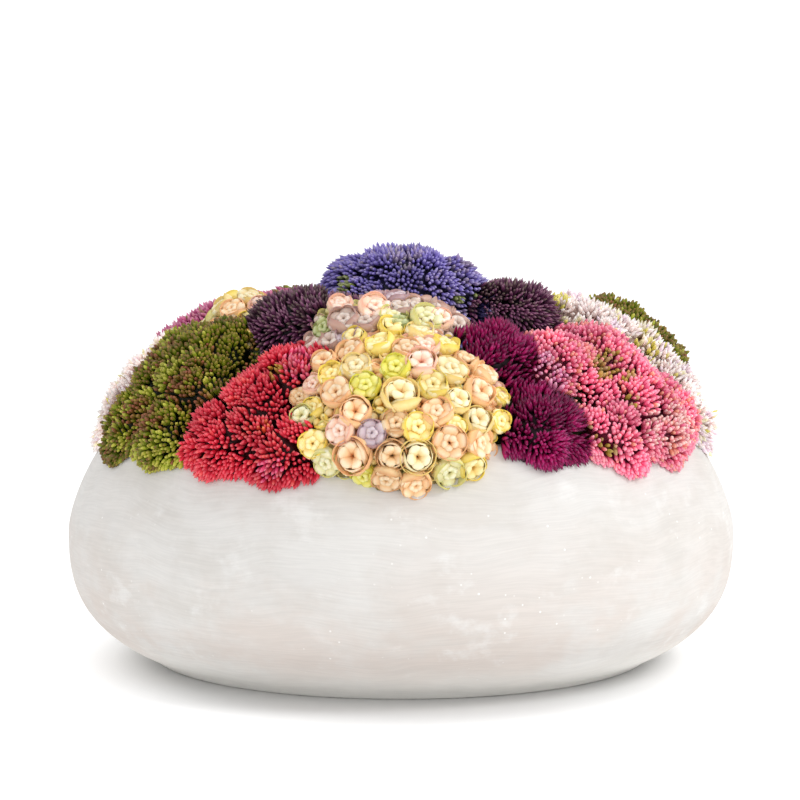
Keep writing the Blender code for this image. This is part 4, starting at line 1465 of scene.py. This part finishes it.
class SEDUM_OT_buds(bpy.types.Operator):
    """Dress the heads of buds, which grow up to the rosettes beside them"""

    bl_idname = "sedum.buds"
    bl_label = "Bud heads"

    def execute(self, context):
        looks = context.scene.sedum_buds
        shapes = model_shared()
        shapes.update({outline: model_bud(outline) for outline in (PLUMP_BUD, POINTED_BUD, SLIM_BUD)})
        plan = plan_heads(context.scene.sedum_rosettes.width)
        heads, shade_scales, points, normals, owners, rims = plan
        taken, owners = lent_places(points, owners, heads, rims)
        materials = {kind: bud_material(kind, looks) for kind in BUD_KINDS}
        for index, (name, lobes) in enumerate(heads.items()):
            if name not in rims:
                own = (owners == index) & ~taken
                draw = np.random.default_rng(HEAD_SEED + index)
                kind = HEADS[name][0]
                places = (points[own], normals[own])
                head = dress_buds(
                    name, lobes, shade_scales[index], BUD_KINDS[kind], looks.size, shapes, places, draw
                )
                finish_piece(head, materials[kind], name, kind)
        return {"FINISHED"}


class SEDUM_OT_stage(bpy.types.Operator):
    """Lay the pale floor, hang the lights and set the camera at the photograph's view"""

    bl_idname = "sedum.stage"
    bl_label = "Stage"

    def execute(self, context):
        looks = context.scene.sedum_stage
        add_sweep(looks.paper_glow)
        add_light("key", looks.key_power)
        add_light("fill", looks.fill_power)
        world = bpy.data.worlds.new("white_room")
        world.use_nodes = True
        background = world.node_tree.nodes["Background"]
        background.inputs["Color"].default_value = (1, 1, 1, 1)
        background.inputs["Strength"].default_value = looks.sky_strength
        context.scene.world = world
        context.scene.view_settings.view_transform = "Standard"
        add_camera()
        return {"FINISHED"}


def add_sweep(glow):
    """White paper: a floor under the bowl that curves up into a wall far behind it. It glows away from
    the bowl, a painted light, which leaves a painted shadow round the bowl's foot.
    """
    deselect_all()
    bpy.ops.mesh.primitive_plane_add(size=SWEEP_SIZE)
    sweep = bpy.context.active_object
    sweep.name = "paper_sweep"
    edit_past(sweep, 1, 0)
    for before, after in pairwise(np.linspace(0, math.pi / 2, SWEEP_STEPS + 1)):
        run = SWEEP_BEND * (math.sin(after) - math.sin(before))
        climb = SWEEP_BEND * (math.cos(before) - math.cos(after))
        bpy.ops.mesh.extrude_region_move(TRANSFORM_OT_translate={"value": (0, run, climb)})
    bpy.ops.mesh.extrude_region_move(TRANSFORM_OT_translate={"value": (0, 0, SWEEP_WALL)})
    bpy.ops.object.mode_set(mode="OBJECT")
    bpy.ops.object.shade_smooth_by_angle(angle=math.radians(40))
    material, tree = new_material("white_paper_sweep")
    place = node(tree, "TexCoord", {}, {})["Object"]
    # The paper glows, a painted light, more the farther it lies from the bowl, and not at all in an
    # oval round it, narrower to the sides: a painted shadow round the foot.
    oval = node(tree, "Mapping", {}, {"Vector": place, "Scale": (SHADOW_NARROWING, 1, 1)})[0]
    distance = node(tree, "VectorMath", {"operation": "LENGTH"}, (oval,))["Value"]
    values = {
        "Base Color": linear("#DEDEDE"),
        "Roughness": 0.9,
        "Specular IOR Level": 0.1,
        "Emission Color": (1, 1, 1, 1),
        "Emission Strength": node(tree, "MapRange", SMOOTH, (distance, *SHADOW_REACH, 0, glow))[0],
    }
    feed(tree, tree.nodes["Principled BSDF"], values)
    sweep.data.materials.append(material)


def add_light(name, power):
    place, size = LIGHTS[name]
    light = bpy.data.lights.new(name, "AREA")
    light.size = size
    light.energy = power
    lamp = bpy.data.objects.new(name, light)
    lamp.location = place
    lamp.rotation_euler = (LIT_POINT - Vector(place)).to_track_quat("-Z", "Y").to_euler()
    bpy.context.scene.collection.objects.link(lamp)


def add_camera():
    """The photograph's view: its scale and framing come from the named view values."""
    camera = bpy.data.cameras.new("photo_view")
    camera.sensor_width = SENSOR_WIDTH
    camera.lens = SENSOR_WIDTH * VIEW_PIXELS_PER_METRE * VIEW_DISTANCE / PHOTO_WIDTH
    across, down = VIEW_TARGET_PIXEL
    camera.shift_x = (PHOTO_WIDTH / 2 - across) / PHOTO_WIDTH
    camera.shift_y = (down - PHOTO_WIDTH / 2) / PHOTO_WIDTH
    holder = bpy.data.objects.new("photo_view", camera)
    back = view_axes()[2]
    holder.location = VIEW_TARGET + back * VIEW_DISTANCE
    holder.rotation_euler = Vector(-back).to_track_quat("-Z", "Y").to_euler()
    bpy.context.scene.collection.objects.link(holder)
    bpy.context.scene.camera = holder


class SEDUM_PT_panel(bpy.types.Panel):
    """The steps that dress the arrangement, in order, and their sizes and colours"""

    bl_idname = "SEDUM_PT_panel"
    bl_label = "Potted sedum"
    bl_space_type = "VIEW_3D"
    bl_region_type = "UI"
    bl_category = "Sedum"

    def draw(self, context):
        for operator in OPERATORS:
            self.layout.operator(operator.bl_idname)
        for name in LOOKS:
            looks = getattr(context.scene, name)
            for key in looks.__annotations__:
                self.layout.prop(looks, key)


OPERATORS = (SEDUM_OT_bowl, SEDUM_OT_mound, SEDUM_OT_rosettes, SEDUM_OT_buds, SEDUM_OT_stage)
LOOKS = {
    "sedum_bowl": SedumBowlLooks,
    "sedum_buds": SedumBudLooks,
    "sedum_rosettes": SedumRosetteLooks,
    "sedum_stage": SedumStageLooks,
}
CLASSES = (*LOOKS.values(), *OPERATORS, SEDUM_PT_panel)


def register():
    for made in CLASSES:
        bpy.utils.register_class(made)
    for name, group in LOOKS.items():
        setattr(bpy.types.Scene, name, bpy.props.PointerProperty(type=group))


def unregister():
    for name in LOOKS:
        delattr(bpy.types.Scene, name)
    for made in reversed(CLASSES):
        bpy.utils.unregister_class(made)


def main():
    register()
    bpy.ops.sedum.bowl()
    bpy.ops.sedum.mound()
    bpy.ops.sedum.rosettes()
    bpy.ops.sedum.buds()
    bpy.ops.sedum.stage()


if __name__ == "__main__":
    main()
